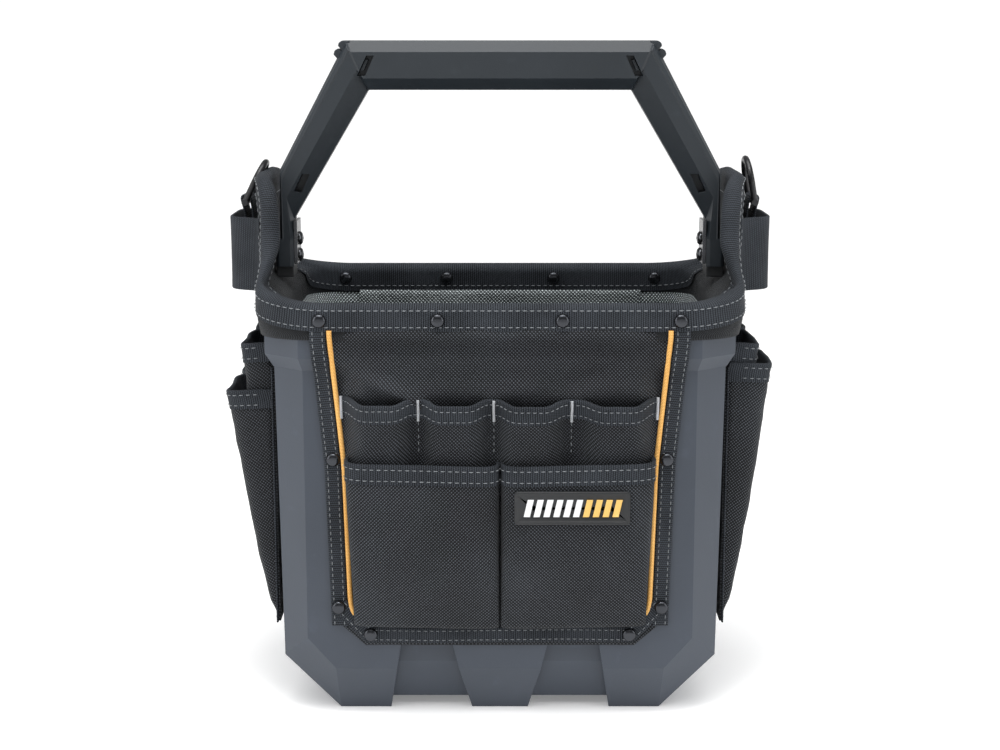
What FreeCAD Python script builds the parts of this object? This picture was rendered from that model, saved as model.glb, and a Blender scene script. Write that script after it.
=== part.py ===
import FreeCAD, Part
import os
import re
import Sketcher
from FreeCAD import Placement, Rotation, Vector

# Open-top tool bucket: a moulded tub in a fitted fabric cover with pockets on all four sides,
# and a rigid bow handle. X is the width, Y the depth (front at -Y), Z is up from the ground.

SIZES = {
    # moulded tub: an eight-cornered plan, 45 degree cuts at the bottom corners
    "tub_wide": 342, "tub_deep": 232, "tub_tall": 318, "draft": 4, "corner_wide": 24,
    "corner_deep": 20, "wall": 3, "bottom_cut": 43, "bottom_lift": 38.5, "face_cut": 21.5,
    "face_cut_tall": 24.5, "corner_share": 0.414,
    # hand and stacking channels pressed into the foot of the tub
    "channel_in": 38.8, "channel_out": 74.3, "channel_foot_in": 21.5, "channel_foot_out": 85,
    "channel_tall": 68, "channel_deep": 8,
    # rim lip
    "lip": 6, "lip_low": "=tub_tall - 47", "lip_high": "=tub_tall - 37",
    # gaps between pieces that lie on each other, and holes round shanks
    "gap": 0.3, "hole_gap": 0.25,
    # fabric and webbing
    "cloth": 1.6, "padding": 2.4, "webbing": 2,
    # collar over the rim, with a flap up each side
    "collar_low": "=tub_tall - 23", "collar_high": "=tub_tall + 3",
    "collar_shoulder": "=tub_tall + 17", "collar_spread": 16, "flap_bend": "=tub_tall + 72",
    "flap_bend_in": 2, "flap_top": "=tub_tall + 93", "flap_top_in": 12, "flap_half": 60,
    "flap_curve": 48, "flap_corner": 12, "band_low": "=tub_tall - 16",
    "band_half": "=tub_wide/2 - 25",
    # floor board and stiff side boards
    "board": 3, "side_board": 4, "side_board_low": "=tub_tall + 12",
    "side_board_high": "=tub_tall + 82", "side_board_half": 52,
    # bow handle: two clamshell halves
    "handle_top": "=tub_tall + 194", "grip_high": 38, "grip_deep": 36, "grip_bevel": 9,
    "grip_wall": 3, "bow_half": "=tub_wide/3", "elbow_in": "=tub_wide/2 - 8",
    "elbow_in_z": "=tub_tall + 55", "elbow_out": "=tub_wide/2 + 8.5",
    "elbow_out_z": "=tub_tall + 94", "leg_low": "=tub_tall + 18", "leg_step": "=tub_tall + 39",
    "leg_waist": "=tub_wide/2 + 5", "foot_out": "=tub_wide/2 + 8", "leg_deep": 32, "slot_long": 13,
    "slot_tall": 8, "slot_in": "=bow_half - 7", "slot_z": "=handle_top - 18",
    # bolts through the handle feet
    "plate": 2.5, "plate_wide": 28, "plate_low": "=tub_tall + 20", "plate_tall": 34, "bolt": 6,
    "bolt_head": 11, "bolt_head_tall": 3.4, "bolt_low": "=tub_tall + 26", "bolt_pitch": 13,
    "nut_tall": 3.4,
    # swinging D-rings and the webbing tabs that hold them
    "ring_wire": 5, "ring_wide": 42, "ring_tall": 36, "ring_x": "=tub_wide/2 + 29",
    "ring_z": "=tub_tall + 69", "ring_play": 0.4, "tab_wide": 28, "tab_low": "=tub_tall + 34",
    "lean_left": 26, "lean_right": 10,
    # hammer loops
    "loop_out": "=tub_wide/2 + 47", "loop_half": 30, "loop_low": "=tub_tall + 2", "loop_tall": 58,
    "loop_sewn": 10,
    # inside
    "liner_low": 73, "inner_pocket_half": "=tub_wide/2 - 49", "inner_pocket_low": 120,
    "inner_pocket_high": "=tub_tall - 20", "inner_pocket_deep": 14, "inner_pocket_seam": 4,
    # front and back panels
    "panel_low": 58, "panel_high": "=tub_tall - 23.6", "panel_top_half": "=tub_wide/2 - 31",
    "panel_half": "=tub_wide/2 - 40", "panel_narrow": "=tub_tall - 118", "panel_corner_z": 80,
    "panel_corner_half": "=tub_wide/2 - 66", "trim": 16, "trim_low": 77, "pipe_size": 4,
    # tool slots and the large pockets in front of them
    "tool_low": 112, "tool_high": "=tub_tall - 72", "tool_half": "=tub_wide/2 - 61",
    "tool_deep": 10, "tool_seam": 2.2, "pocket_low": 77, "pocket_high": "=tub_tall - 112",
    "pocket_half": "=tub_wide/2 - 60", "pocket_deep": 12, "pocket_split": 1, "bound": 15,
    # name plate on the right front pocket
    "badge_left": 10, "badge_right": 97, "badge_low": "=pocket_high - 47",
    "badge_high": "=pocket_high - 21", "badge_thick": 3, "badge_edge": 3,
    # side panels and their pockets
    "side_half": "=tub_deep/2 - 32", "side_low": 56, "side_high": "=tub_tall - 50", "side_edge": 9,
    "column_half": "=tub_deep/2 - 38", "column_split": 2.5, "upper_low": "=tub_tall - 168",
    "upper_high": "=tub_tall - 33", "upper_foot_out": "=tub_wide/2 + 12",
    "upper_out": "=tub_wide/2 + 28", "outer_low": 59, "outer_foot_out": "=tub_wide/2 + 7",
    "outer_left_high": "=tub_tall - 69", "outer_right_high": "=tub_tall - 48",
    "outer_left_out": "=tub_wide/2 + 41", "outer_right_out": "=tub_wide/2 + 40",
    # rivets
    "rivet": 10, "rivet_cap": 3, "shank": 4, "rim_rivet_in": 46,
    "rim_rivet_out": "=tub_wide/2 - 38", "rim_rivet_z": "=tub_tall - 7",
    "rivet_high_x": "=tub_wide/2 - 46.5", "rivet_high_z": "=tub_tall - 114",
    "rivet_low_x": "=tub_wide/2 - 48.5", "rivet_low_z": 88, "rivet_foot_x": "=tub_wide/2 - 72.5",
    "rivet_foot_z": 67.5,
}

doc = FreeCAD.newDocument("tool_bucket")
sheet = doc.addObject("Spreadsheet::Sheet", "sizes")
for row, (alias, number) in enumerate(SIZES.items(), start=1):
    sheet.set(f"A{row}", alias)
    sheet.set(f"B{row}", str(number))
    sheet.setAlias(f"B{row}", alias)
doc.recompute()

NODES = []
HALF_TURN = Rotation(Vector(0, 0, 1), 180)


def bound(text):
    """The expression text with each size's name pointed at its cell."""
    return re.sub(r"[a-z]\w*", lambda word: "sizes." + word[0] if word[0] in SIZES else word[0], text)


def value(text):
    """The number that an expression of sizes gives now."""
    return float(sheet.evalExpression(bound(text)))


def origin_plane(body, role):
    return next(item for item in body.Origin.OriginFeatures if item.Role == role)


def new_body(label, turned=False):
    """A body that is one sub-part; turned pieces face the back or the left."""
    body = doc.addObject("PartDesign::Body", label)
    body.Label = label
    if turned:
        body.Placement = Placement(Vector(), HALF_TURN)
    NODES.append(body)
    return body


def attached_sketch(body, name, role, offset):
    """An empty sketch on one of the body's own planes, offset along its normal."""
    sketch = body.newObject("Sketcher::SketchObject", name)
    sketch.AttachmentSupport = [(origin_plane(body, role), "")]
    sketch.MapMode = "FlatFace"
    sketch.setExpression("AttachmentOffset.Base.z", bound(offset))
    return sketch


def tie(sketch, point, tag, place):
    """Tie a sketch point (geometry, position) to a pair of expressions."""
    for kind, text in zip(("DistanceX", "DistanceY"), place):
        number = sketch.addConstraint(Sketcher.Constraint(kind, -1, 1, *point, value(text)))
        name = f"{tag}_{kind[-1].lower()}"
        sketch.renameConstraint(number, name)
        sketch.setExpression(f"Constraints.{name}", bound(text))


def polygon(body, name, role, offset, *loops):
    """A sketch of closed loops of straight lines, each corner a pair of expressions."""
    sketch = attached_sketch(body, name, role, offset)
    for loop, corners in enumerate(loops):
        points = [Vector(value(across), value(up), 0) for across, up in corners]
        first = sketch.GeometryCount
        for start, end in zip(points, points[1:] + points[:1]):
            sketch.addGeometry(Part.LineSegment(start, end))
        for index in range(len(points)):
            after = (index + 1) % len(points)
            sketch.addConstraint(Sketcher.Constraint("Coincident", first + index, 2, first + after, 1))
        for index, corner in enumerate(corners):
            tie(sketch, (first + index, 1), f"p{loop}_{index}", corner)
    return sketch


def open_line(body, name, role, offset, corners):
    """A sketch of straight runs end to end, for a sweep's path."""
    sketch = attached_sketch(body, name, role, offset)
    points = [Vector(value(across), value(up), 0) for across, up in corners]
    for start, end in zip(points, points[1:]):
        sketch.addGeometry(Part.LineSegment(start, end))
    for index in range(len(points) - 2):
        sketch.addConstraint(Sketcher.Constraint("Coincident", index, 2, index + 1, 1))
    for index, corner in enumerate(corners[:-1]):
        tie(sketch, (index, 1), f"p{index}", corner)
    tie(sketch, (len(points) - 2, 2), "end", corners[-1])
    return sketch


def circles(body, name, role, offset, places, size):
    """A sketch of equal circles; size is the diameter."""
    sketch = attached_sketch(body, name, role, offset)
    for index, place in enumerate(places):
        centre = Vector(value(place[0]), value(place[1]), 0)
        sketch.addGeometry(Part.Circle(centre, Vector(0, 0, 1), value(size) / 2))
        tie(sketch, (index, 3), f"c{index}", place)
        number = sketch.addConstraint(Sketcher.Constraint("Diameter", index, value(size)))
        sketch.renameConstraint(number, f"size{index}")
        sketch.setExpression(f"Constraints.size{index}", bound(size))
    return sketch


def curved(body, name, role, offset, *loops):
    """A sketch of closed loops; a corner given with a radius starts an arc to the next corner.

    A positive radius turns anticlockwise about its centre, a negative one clockwise.
    """
    sketch = attached_sketch(body, name, role, offset)
    for loop, steps in enumerate(loops):
        first = sketch.GeometryCount
        points = [Vector(value(step[0]), value(step[1]), 0) for step in steps]
        starts = []
        for index, step in enumerate(steps):
            start, end = points[index], points[(index + 1) % len(points)]
            if len(step) == 2:
                sketch.addGeometry(Part.LineSegment(start, end))
                starts.append(1)
                continue
            radius = value(step[2])
            chord = end - start
            left = Vector(-chord.y, chord.x, 0).normalize()
            rise = max(radius * radius - chord.Length ** 2 / 4, 0) ** 0.5
            way = 1 if radius > 0 else -1
            centre = (start + end) / 2 + left * rise * way
            middle = centre - left * abs(radius) * way
            sketch.addGeometry(Part.Arc(start, middle, end))
            starts.append(1 if radius > 0 else 2)
        for index, step in enumerate(steps):
            after = (index + 1) % len(steps)
            ends = 3 - starts[index]
            sketch.addConstraint(Sketcher.Constraint(
                "Coincident", first + index, ends, first + after, starts[after]))
        for index, step in enumerate(steps):
            tie(sketch, (first + index, starts[index]), f"p{loop}_{index}", step[:2])
            if len(step) == 3:
                number = sketch.addConstraint(
                    Sketcher.Constraint("Radius", first + index, abs(value(step[2]))))
                sketch.renameConstraint(number, f"r{loop}_{index}")
                sketch.setExpression(f"Constraints.r{loop}_{index}", bound(f"abs({step[2]})"))
    return sketch


def pad(body, sketch, length, both_ways=False):
    feature = body.newObject("PartDesign::Pad", sketch.Name + "_pad")
    feature.Profile = sketch
    feature.SideType = "Symmetric" if both_ways else "One side"
    feature.setExpression("Length", bound(length))
    sketch.Visibility = False
    return feature


def pocket(body, sketch, length=None, both_ways=False):
    """Cut against the sketch's normal, or right through both ways."""
    feature = body.newObject("PartDesign::Pocket", sketch.Name + "_cut")
    feature.Profile = sketch
    feature.SideType = "Symmetric" if both_ways else "One side"
    if length is None:
        feature.Type = "ThroughAll"
    else:
        feature.setExpression("Length", bound(length))
    return feature


def loft(body, name, sections, cut=False):
    kind = "PartDesign::SubtractiveLoft" if cut else "PartDesign::AdditiveLoft"
    feature = body.newObject(kind, name)
    feature.Profile = sections[0]
    feature.Sections = [(section, [""]) for section in sections[1:]]
    feature.Ruled = True
    return feature


def mirrored(right_side):
    """A closed outline from its right-hand corners, listed from the bottom up."""
    return right_side + [(f"-({across})", up) for across, up in reversed(right_side)]


def rectangle(left, right, low, high):
    return [(left, low), (right, low), (right, high), (left, high)]


# ---------------------------------------------------------------- the tub's shape

def end_outline(inset, top):
    """The flat front and back faces, set in by inset."""
    side = f"tub_wide/2 - corner_wide - corner_share*({inset})"
    return mirrored([
        (f"{side} - face_cut", f"bottom_lift + corner_share*({inset})"),
        (side, f"bottom_lift + face_cut_tall + corner_share*({inset})"),
        (side, top),
    ])


def middle_outline(inset, top):
    """The widest outline, where the corner faces meet the sides, set in by inset."""
    side = f"tub_wide/2 - ({inset})"
    return mirrored([
        (f"{side} - draft - bottom_cut + corner_share*({inset})", inset),
        (f"{side} - draft", f"bottom_cut + corner_share*({inset})"),
        (side, top),
    ])


def tub_loft(body, name, inset, top, cut=False):
    """The tub's solid, front to back, with every face set in by inset."""
    face = f"tub_deep/2 - ({inset})"
    flat = f"tub_deep/2 - corner_deep - corner_share*({inset})"
    sections = []
    for index, (offset, outline) in enumerate((
            (face, end_outline), (flat, middle_outline),
            (f"-({flat})", middle_outline), (f"-({face})", end_outline))):
        sections.append(polygon(body, f"{name}_{index}", "XZ_Plane", offset, outline(inset, top)))
    return loft(body, name, sections, cut)


def channel_outline(growth, side):
    """One channel's outline in the front view, its walls moved out by growth."""
    corners = [
        (f"channel_foot_in - ({growth})", "-1"), (f"channel_foot_out + ({growth})", "-1"),
        (f"channel_out + ({growth})", f"channel_tall + ({growth})"),
        (f"channel_in - ({growth})", f"channel_tall + ({growth})"),
    ]
    return [(f"{side}*({across})", up) for across, up in corners]


def channelled_tub(body, name, inset, growth, top):
    """The tub's solid with the channels pressed into its front, back and bottom."""
    tub_loft(body, name, inset, top)
    outlines = [channel_outline(growth, side) for side in (1, -1)]
    pocket(body, polygon(body, f"{name}_channels", "XZ_Plane", "0", *outlines), both_ways=True)
    tub_loft(body, f"{name}_core", f"{inset} + channel_deep", f"channel_tall + 2*({growth}) + wall")


def plan_outline(outset_x, outset_y=None):
    """The tub's eight-cornered plan, moved out."""
    outset_y = outset_y or outset_x
    long_x = f"tub_wide/2 + ({outset_x})"
    long_y = f"tub_deep/2 + ({outset_y})"
    short_x = f"tub_wide/2 - corner_wide + corner_share*({outset_y})"
    short_y = f"tub_deep/2 - corner_deep + corner_share*({outset_y})"
    return [
        (f"-({short_x})", f"-({long_y})"), (short_x, f"-({long_y})"),
        (long_x, f"-({short_y})"), (long_x, short_y),
        (short_x, long_y), (f"-({short_x})", long_y),
        (f"-({long_x})", short_y), (f"-({long_x})", f"-({short_y})"),
    ]


RIM_RIVETS = [(f"{side}*{across}", "rim_rivet_z")
              for across in ("rim_rivet_in", "rim_rivet_out") for side in (1, -1)]
PANEL_RIVETS = [(f"{side}*rivet_{name}_x", f"rivet_{name}_z")
                for name in ("high", "low", "foot") for side in (1, -1)]


def rivet_holes(body, name, places):
    """Holes for the rivet shanks, right through from front to back."""
    pocket(body, circles(body, name, "XZ_Plane", "0", places, "shank + 2*hole_gap"), both_ways=True)


def make_tub():
    outer = doc.addObject("PartDesign::Body", "tub_outside")
    channelled_tub(outer, "outside", "0", "0", "tub_tall")
    lip = [polygon(outer, f"lip_{index}", "XY_Plane", height, plan_outline(out))
           for index, (height, out) in enumerate(
               (("lip_low", "0"), ("lip_high", "lip"), ("tub_tall", "lip")))]
    loft(outer, "lip_loft", lip)
    rivet_holes(outer, "rim_holes", RIM_RIVETS)
    rivet_holes(outer, "panel_holes", PANEL_RIVETS)
    inner = doc.addObject("PartDesign::Body", "tub_inside")
    channelled_tub(inner, "inside", "wall", "wall", "tub_tall")
    tub = doc.addObject("Part::Cut", "body_shell")
    tub.Base, tub.Tool = outer, inner
    tub.Label = "body_shell"
    NODES.append(tub)


def make_base_board():
    """A flat board on the tops of the pressed-in channels."""
    board = new_body("base_board")
    across = "tub_wide/2 - draft - bottom_cut"
    deep = "tub_deep/2 - corner_deep - channel_deep - 2*wall"
    outline = rectangle(f"-({across})", across, f"-({deep})", deep)
    low = "channel_deep + wall + gap"
    pad(board, polygon(board, "board_outline", "XY_Plane", low, outline), "board")


def make_liner():
    """The cloth lining of the four walls, open at the top and the bottom."""
    liner = new_body("liner")
    outer = plan_outline("-(wall + gap + draft)", "-(wall + gap)")
    inner = plan_outline("-(wall + gap + draft + cloth)", "-(wall + gap + cloth)")
    pad(liner, polygon(liner, "liner_plan", "XY_Plane", "liner_low", outer, inner),
        "collar_high - liner_low")


def make_inner_pocket():
    """A wide two-part pocket sewn to the lining of the back wall."""
    inner = new_body("inner_pocket")
    back = "tub_deep/2 - wall - 2*gap - cloth"
    front = f"{back} - inner_pocket_deep"
    outline = rectangle("-inner_pocket_half", "inner_pocket_half", front, back)
    tall = "inner_pocket_high - inner_pocket_low"
    pad(inner, polygon(inner, "inner_outline", "XY_Plane", "inner_pocket_low", outline), tall)
    near, far = f"{front} + cloth", f"{back} - cloth"
    hollows = [rectangle("-inner_pocket_half + cloth", "inner_pocket_seam - cloth/2", near, far),
               rectangle("inner_pocket_seam + cloth/2", "inner_pocket_half - cloth", near, far)]
    pocket(inner, polygon(inner, "inner_hollow", "XY_Plane", "inner_pocket_high", *hollows),
           f"{tall} - cloth")


def make_collar():
    """The padded collar round the rim; it sweeps up into a flap on each side."""
    collar = new_body("collar")
    foot = "lip + gap + padding"
    heights = (("collar_low", foot), ("collar_shoulder", f"{foot} + collar_spread"),
               ("flap_bend", f"{foot} + collar_spread - flap_bend_in"),
               ("flap_top", f"{foot} + collar_spread - flap_top_in"))
    for thick, cut in (("0", False), ("padding", True)):
        name = "collar_inner" if cut else "collar_outer"
        loft(collar, name, [
            polygon(collar, f"{name}_{index}", "XY_Plane", height,
                    plan_outline(f"{across} - {thick}", f"{foot} - {thick}"))
            for index, (height, across) in enumerate(heights)], cut)
    valleys = []
    for side in (1, -1):
        valleys.append([
            (f"{side}*tub_deep", "collar_high"),
            (f"{side}*(flap_half + flap_curve)", "collar_high", f"{side}*-flap_curve"),
            (f"{side}*flap_half", "collar_high + flap_curve"),
            (f"{side}*flap_half", "flap_top - flap_corner", f"{side}*flap_corner"),
            (f"{side}*(flap_half - flap_corner)", "flap_top"),
            (f"{side}*(flap_half - flap_corner)", "flap_top + flap_corner"),
            (f"{side}*tub_deep", "flap_top + flap_corner"),
        ])
    pocket(collar, curved(collar, "collar_valleys", "YZ_Plane", "0", *valleys), both_ways=True)
    rivet_holes(collar, "collar_holes", RIM_RIVETS)


def make_rim_band(label, turned):
    """The flat webbing that binds the collar's edge along the front or the back."""
    band = new_body(label, turned)
    outline = rectangle("-band_half", "band_half", "band_low", "collar_high + gap")
    near = "tub_deep/2 + lip + 2*gap + padding"
    pad(band, polygon(band, f"{label}_outline", "XZ_Plane", near, outline), "cloth")
    rivet_holes(band, f"{label}_holes", RIM_RIVETS)


# ---------------------------------------------------------------- the bow handle

def half_grip(depth, shrink):
    """Half of the six-sided grip section: up, then out to the front face at depth."""
    high = f"grip_high/2 - {shrink}"
    return [(depth, f"handle_top - grip_high/2 - ({high})"),
            (f"-(grip_deep/2 - grip_bevel)", f"handle_top - grip_high/2 - ({high})"),
            (f"-(grip_deep/2 - {shrink})", f"handle_top - grip_high/2 - ({high}) + grip_bevel"),
            (f"-(grip_deep/2 - {shrink})", f"handle_top - grip_high/2 + ({high}) - grip_bevel"),
            (f"-(grip_deep/2 - grip_bevel)", f"handle_top - grip_high/2 + ({high})"),
            (depth, f"handle_top - grip_high/2 + ({high})")]


BOLTS = ["bolt_low", "bolt_low + bolt_pitch"]


def bolt_holes(body, name):
    places = [("0", height) for height in BOLTS]
    pocket(body, circles(body, name, "YZ_Plane", "0", places, "bolt + 2*hole_gap"), both_ways=True)


def make_handle_half(label, turned):
    """One clamshell half: a hollow bow that ends in two solid feet."""
    shell = new_body(label, turned)
    grip_middle = "handle_top - grip_high/2"
    run_out = "elbow_in + grip_high"
    run_out_z = (f"{grip_middle} - ({run_out} - bow_half)*({grip_middle} - (elbow_in_z + elbow_out_z)/2)"
                 "/((elbow_in + elbow_out)/2 - bow_half)")
    path = open_line(shell, f"{label}_path", "XZ_Plane", "0",
                     [("0", grip_middle), ("bow_half", grip_middle), (run_out, run_out_z)])
    sweeps = []
    for name, kind, depth, shrink in (
            ("outer", "PartDesign::AdditivePipe", "-gap/2", "0"),
            ("hollow", "PartDesign::SubtractivePipe", "0", "grip_wall")):
        section = polygon(shell, f"{label}_{name}", "YZ_Plane", "0", half_grip(depth, shrink))
        sweep = shell.newObject(kind, f"{label}_{name}_sweep")
        sweep.Profile = section
        sweep.Spine = (path, [""])
        sweep.Transition = "Right corner"
        sweeps.append(sweep)
    whole = shell.newObject("PartDesign::Mirrored", f"{label}_whole")
    whole.Originals = sweeps
    whole.MirrorPlane = (origin_plane(shell, "YZ_Plane"), [""])
    shell.Tip = whole
    doc.recompute()
    trims, legs = [], []
    for side in (1, -1):
        trims.append([(f"{side}*({across})", up) for across, up in (
            ("elbow_in", "elbow_in_z"), ("elbow_out", "elbow_out_z"),
            ("elbow_out + 2*grip_high", "elbow_out_z"), ("elbow_out + 2*grip_high", "leg_low - grip_high"),
            ("bow_half", "leg_low - grip_high"), ("bow_half", "elbow_in_z"))])
        legs.append([(f"{side}*({across})", up) for across, up in (
            ("elbow_in", "leg_low"), ("foot_out", "leg_low"), ("foot_out", "leg_step"),
            ("leg_waist", "leg_step"), ("elbow_out", "elbow_out_z"), ("elbow_in", "elbow_in_z"))])
    pocket(shell, polygon(shell, f"{label}_trim", "XZ_Plane", "0", *trims), both_ways=True)
    pad(shell, polygon(shell, f"{label}_legs", "XZ_Plane", "gap/2", *legs), "leg_deep/2")
    slots = []
    for side in (1, -1):
        slots.append([(f"{side}*({across})", up) for across, up in (
            ("slot_in", "slot_z - slot_tall/2"), ("slot_in + slot_long/2", "slot_z - slot_tall/2"),
            ("slot_in + slot_long/2 - slot_tall/2", "slot_z + slot_tall/2"),
            ("slot_in - slot_tall/2", "slot_z + slot_tall/2"))])
    pocket(shell, polygon(shell, f"{label}_slots", "XZ_Plane", "grip_deep/2", *slots), "2*grip_wall")
    bolt_holes(shell, f"{label}_holes")


def make_handle_plate(label, turned):
    """The steel plate on the inner side of a handle foot."""
    plate = new_body(label, turned)
    outline = rectangle("-plate_wide/2", "plate_wide/2", "plate_low", "plate_low + plate_tall")
    inner = "elbow_in - gap - plate"
    pad(plate, polygon(plate, f"{label}_outline", "YZ_Plane", inner, outline), "plate")
    bolt_holes(plate, f"{label}_holes")


def make_side_board(label, turned):
    """The stiff board inside a flap that the handle foot is bolted to."""
    board = new_body(label, turned)
    outline = mirrored([("side_board_half", "side_board_low"),
                        ("side_board_half", "side_board_high - flap_corner"),
                        ("side_board_half - flap_corner", "side_board_high")])
    pad(board, polygon(board, f"{label}_outline", "YZ_Plane", "elbow_out + 2*gap", outline),
        "side_board")
    bolt_holes(board, f"{label}_holes")


def turned_solid(outline, centre, axis):
    """A solid of revolution from (radius, along) corners about an axis through centre."""
    side = Vector(0, 0, 1)
    points = [centre + side * radius + axis * along for radius, along in outline]
    return Part.Face(Part.makePolygon(points + points[:1])).revolve(centre, axis, 360)


def fastener_group(label, solids):
    group = doc.addObject("Part::Feature", label)
    group.Shape = Part.makeCompound(solids)
    group.Label = label
    NODES.append(group)


def domed(radius, tall, steps=4):
    """Corners of a low dome, from its rim up to its crown."""
    return [(radius * (1 - (step / steps) ** 2) ** 0.5, tall * step / steps)
            for step in range(steps + 1)]


def make_bolts():
    heads, nuts = [], []
    head_x = value("elbow_in - 2*gap - plate")
    nut_x = value("elbow_out + 3*gap + side_board")
    for side in (1, -1):
        for height in BOLTS:
            away = Vector(-side, 0, 0)
            reach = nut_x + value("nut_tall") - head_x
            head = Vector(side * head_x, 0, value(height))
            outline = [(0, -reach), (value("bolt/2"), -reach), (value("bolt/2"), 0)]
            heads.append(turned_solid(
                outline + domed(value("bolt_head/2"), value("bolt_head_tall")), head, away))
            washer = Part.makeCylinder(value("bolt_head/2"), value("nut_tall"),
                                       Vector(side * nut_x, 0, value(height)), -away)
            bore = Part.makeCylinder(value("bolt/2 + hole_gap/2"), value("nut_tall"),
                                     Vector(side * nut_x, 0, value(height)), -away)
            nuts.append(washer.cut(bore))
    fastener_group("handle_bolts", heads)
    fastener_group("handle_nuts", nuts)


def rivet_group(label, places, seat, sides):
    """Domed rivets on the front (-1) or back (+1); seat is the depth of the cloth they clamp."""
    solids = []
    for side in sides:
        for across, up in places:
            away = Vector(0, side, 0)
            head = Vector(value(across), side * value(seat), value(up))
            reach = value(f"{seat} - tub_deep/2 + wall")
            outline = [(0, -reach), (value("shank/2"), -reach), (value("shank/2"), 0)]
            solids.append(turned_solid(
                outline + domed(value("rivet/2"), value("rivet_cap")), head, away))
    fastener_group(label, solids)


# ---------------------------------------------------------------- rings and loops

def make_d_ring(label, side, lean):
    """A D-ring of round wire: a straight bar on its hinge line and a bow above it."""
    ring = new_body(label)
    half = "(ring_wide - ring_wire)/2"
    bow = f"ring_tall - ring_wire/2 - {half}"
    bar = circles(ring, f"{label}_bar", "XZ_Plane", "0", [("0", "0")], "ring_wire")
    pad(ring, bar, "ring_wide", both_ways=True)
    path = attached_sketch(ring, f"{label}_path", "YZ_Plane", "0")
    reach, rise = value(half), value(bow)
    path.addGeometry(Part.LineSegment(Vector(reach, 0, 0), Vector(reach, rise, 0)))
    path.addGeometry(Part.Arc(Vector(reach, rise, 0), Vector(0, rise + reach, 0),
                              Vector(-reach, rise, 0)))
    path.addGeometry(Part.LineSegment(Vector(-reach, rise, 0), Vector(-reach, 0, 0)))
    path.addConstraint(Sketcher.Constraint("Coincident", 0, 2, 1, 1))
    path.addConstraint(Sketcher.Constraint("Coincident", 1, 2, 2, 1))
    for point, tag, place in (((0, 1), "a", (half, "0")), ((0, 2), "b", (half, bow)),
                              ((1, 3), "c", ("0", bow)), ((2, 2), "d", (f"-({half})", "0"))):
        tie(path, point, tag, place)
    section = circles(ring, f"{label}_section", "XY_Plane", "0", [("0", half)], "ring_wire")
    sweep = ring.newObject("PartDesign::AdditivePipe", f"{label}_sweep")
    sweep.Profile = section
    sweep.Spine = (path, [""])
    ring.Placement = Placement(Vector(), Rotation(Vector(0, 1, 0), -side * value(lean)))
    ring.setExpression("Placement.Base.x", bound(f"{side}*ring_x"))
    ring.setExpression("Placement.Base.z", bound("ring_z"))


def make_ring_tab(label, turned):
    """The webbing tab folded round a D-ring's bar and sewn down the flap."""
    tab = new_body(label, turned)
    centre = [("ring_x", "ring_z")]
    eye = circles(tab, f"{label}_eye", "XZ_Plane", "0", centre, "ring_wire + 2*ring_play + 2*webbing")
    pad(tab, eye, "tab_wide", both_ways=True)
    inner = "tub_wide/2 + lip + 2*gap + padding + collar_spread"
    tongue = rectangle(inner, f"{inner} + webbing", "tab_low", "ring_z")
    pad(tab, polygon(tab, f"{label}_tongue", "XZ_Plane", "0", tongue), "tab_wide", both_ways=True)
    bore = circles(tab, f"{label}_bore", "XZ_Plane", "0", centre, "ring_wire + 2*ring_play")
    pocket(tab, bore, both_ways=True)


def make_hammer_loop(label, turned):
    """A band of webbing bowed out from the flap, sewn down at both ends."""
    loop = new_body(label, turned)
    base = "tub_wide/2 + lip + 2*gap + padding + collar_spread"
    rise = f"(loop_out - ({base}))"
    radius = f"(loop_half^2 + {rise}^2)/(2*{rise})"
    centre = f"loop_out - {radius}"
    inner_half = f"sqrt(({radius} - webbing)^2 - ({base} - ({centre}))^2)"
    bow = [(base, "-loop_half", radius), (base, "loop_half"),
           (base, inner_half, f"-({radius} - webbing)"), (base, f"-({inner_half})")]
    pad(loop, curved(loop, f"{label}_bow", "XY_Plane", "loop_low", bow), "loop_tall")
    ends = [rectangle(base, f"{base} + webbing", f"{side}*({inner_half})",
                      f"{side}*(loop_half + loop_sewn)") for side in (1, -1)]
    pad(loop, polygon(loop, f"{label}_ends", "XY_Plane", "loop_low", *ends), "loop_tall")


# ---------------------------------------------------------------- front and back

def cranked_piece(label, turned, near, thick, *loops):
    """A flat piece in the front view whose top steps out over the rim lip."""
    piece = new_body(label, turned)
    inside = f"(tub_deep/2 + {near})"
    outline = polygon(piece, f"{label}_outline", "XZ_Plane", inside, *loops)
    pad(piece, outline, f"lip + {thick}")
    outside = f"({inside} + {thick})"
    over = "(panel_high + pipe_size)"
    front_waste = [(f"-{outside}", "0"), (f"-{outside}", "lip_low"),
                   (f"-({outside} + lip)", "lip_high"), (f"-({outside} + 2*lip)", "lip_high"),
                   (f"-({outside} + 2*lip)", "0")]
    back_waste = [(f"-{inside}", "lip_low"), (f"-({inside} + lip)", "lip_high"),
                  (f"-({inside} + lip)", over), (f"-{inside} + lip", over),
                  (f"-{inside} + lip", "lip_low")]
    pocket(piece, polygon(piece, f"{label}_crank", "YZ_Plane", "0", front_waste, back_waste),
           both_ways=True)
    return piece


PANEL_SIDE = [("panel_corner_half", "panel_low"), ("panel_half", "panel_corner_z"),
              ("panel_half", "panel_narrow"), ("panel_top_half", "panel_high")]
TRIM_INSIDE = [("panel_top_half - trim", "panel_high"), ("panel_half - trim", "panel_narrow"),
               ("panel_half - trim", "panel_corner_z + trim/2"),
               ("panel_corner_half - trim/2", "trim_low")]


def make_panel(label, turned):
    panel = cranked_piece(label, turned, "gap", "cloth", mirrored(PANEL_SIDE))
    rivet_holes(panel, f"{label}_holes", PANEL_RIVETS)


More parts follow.
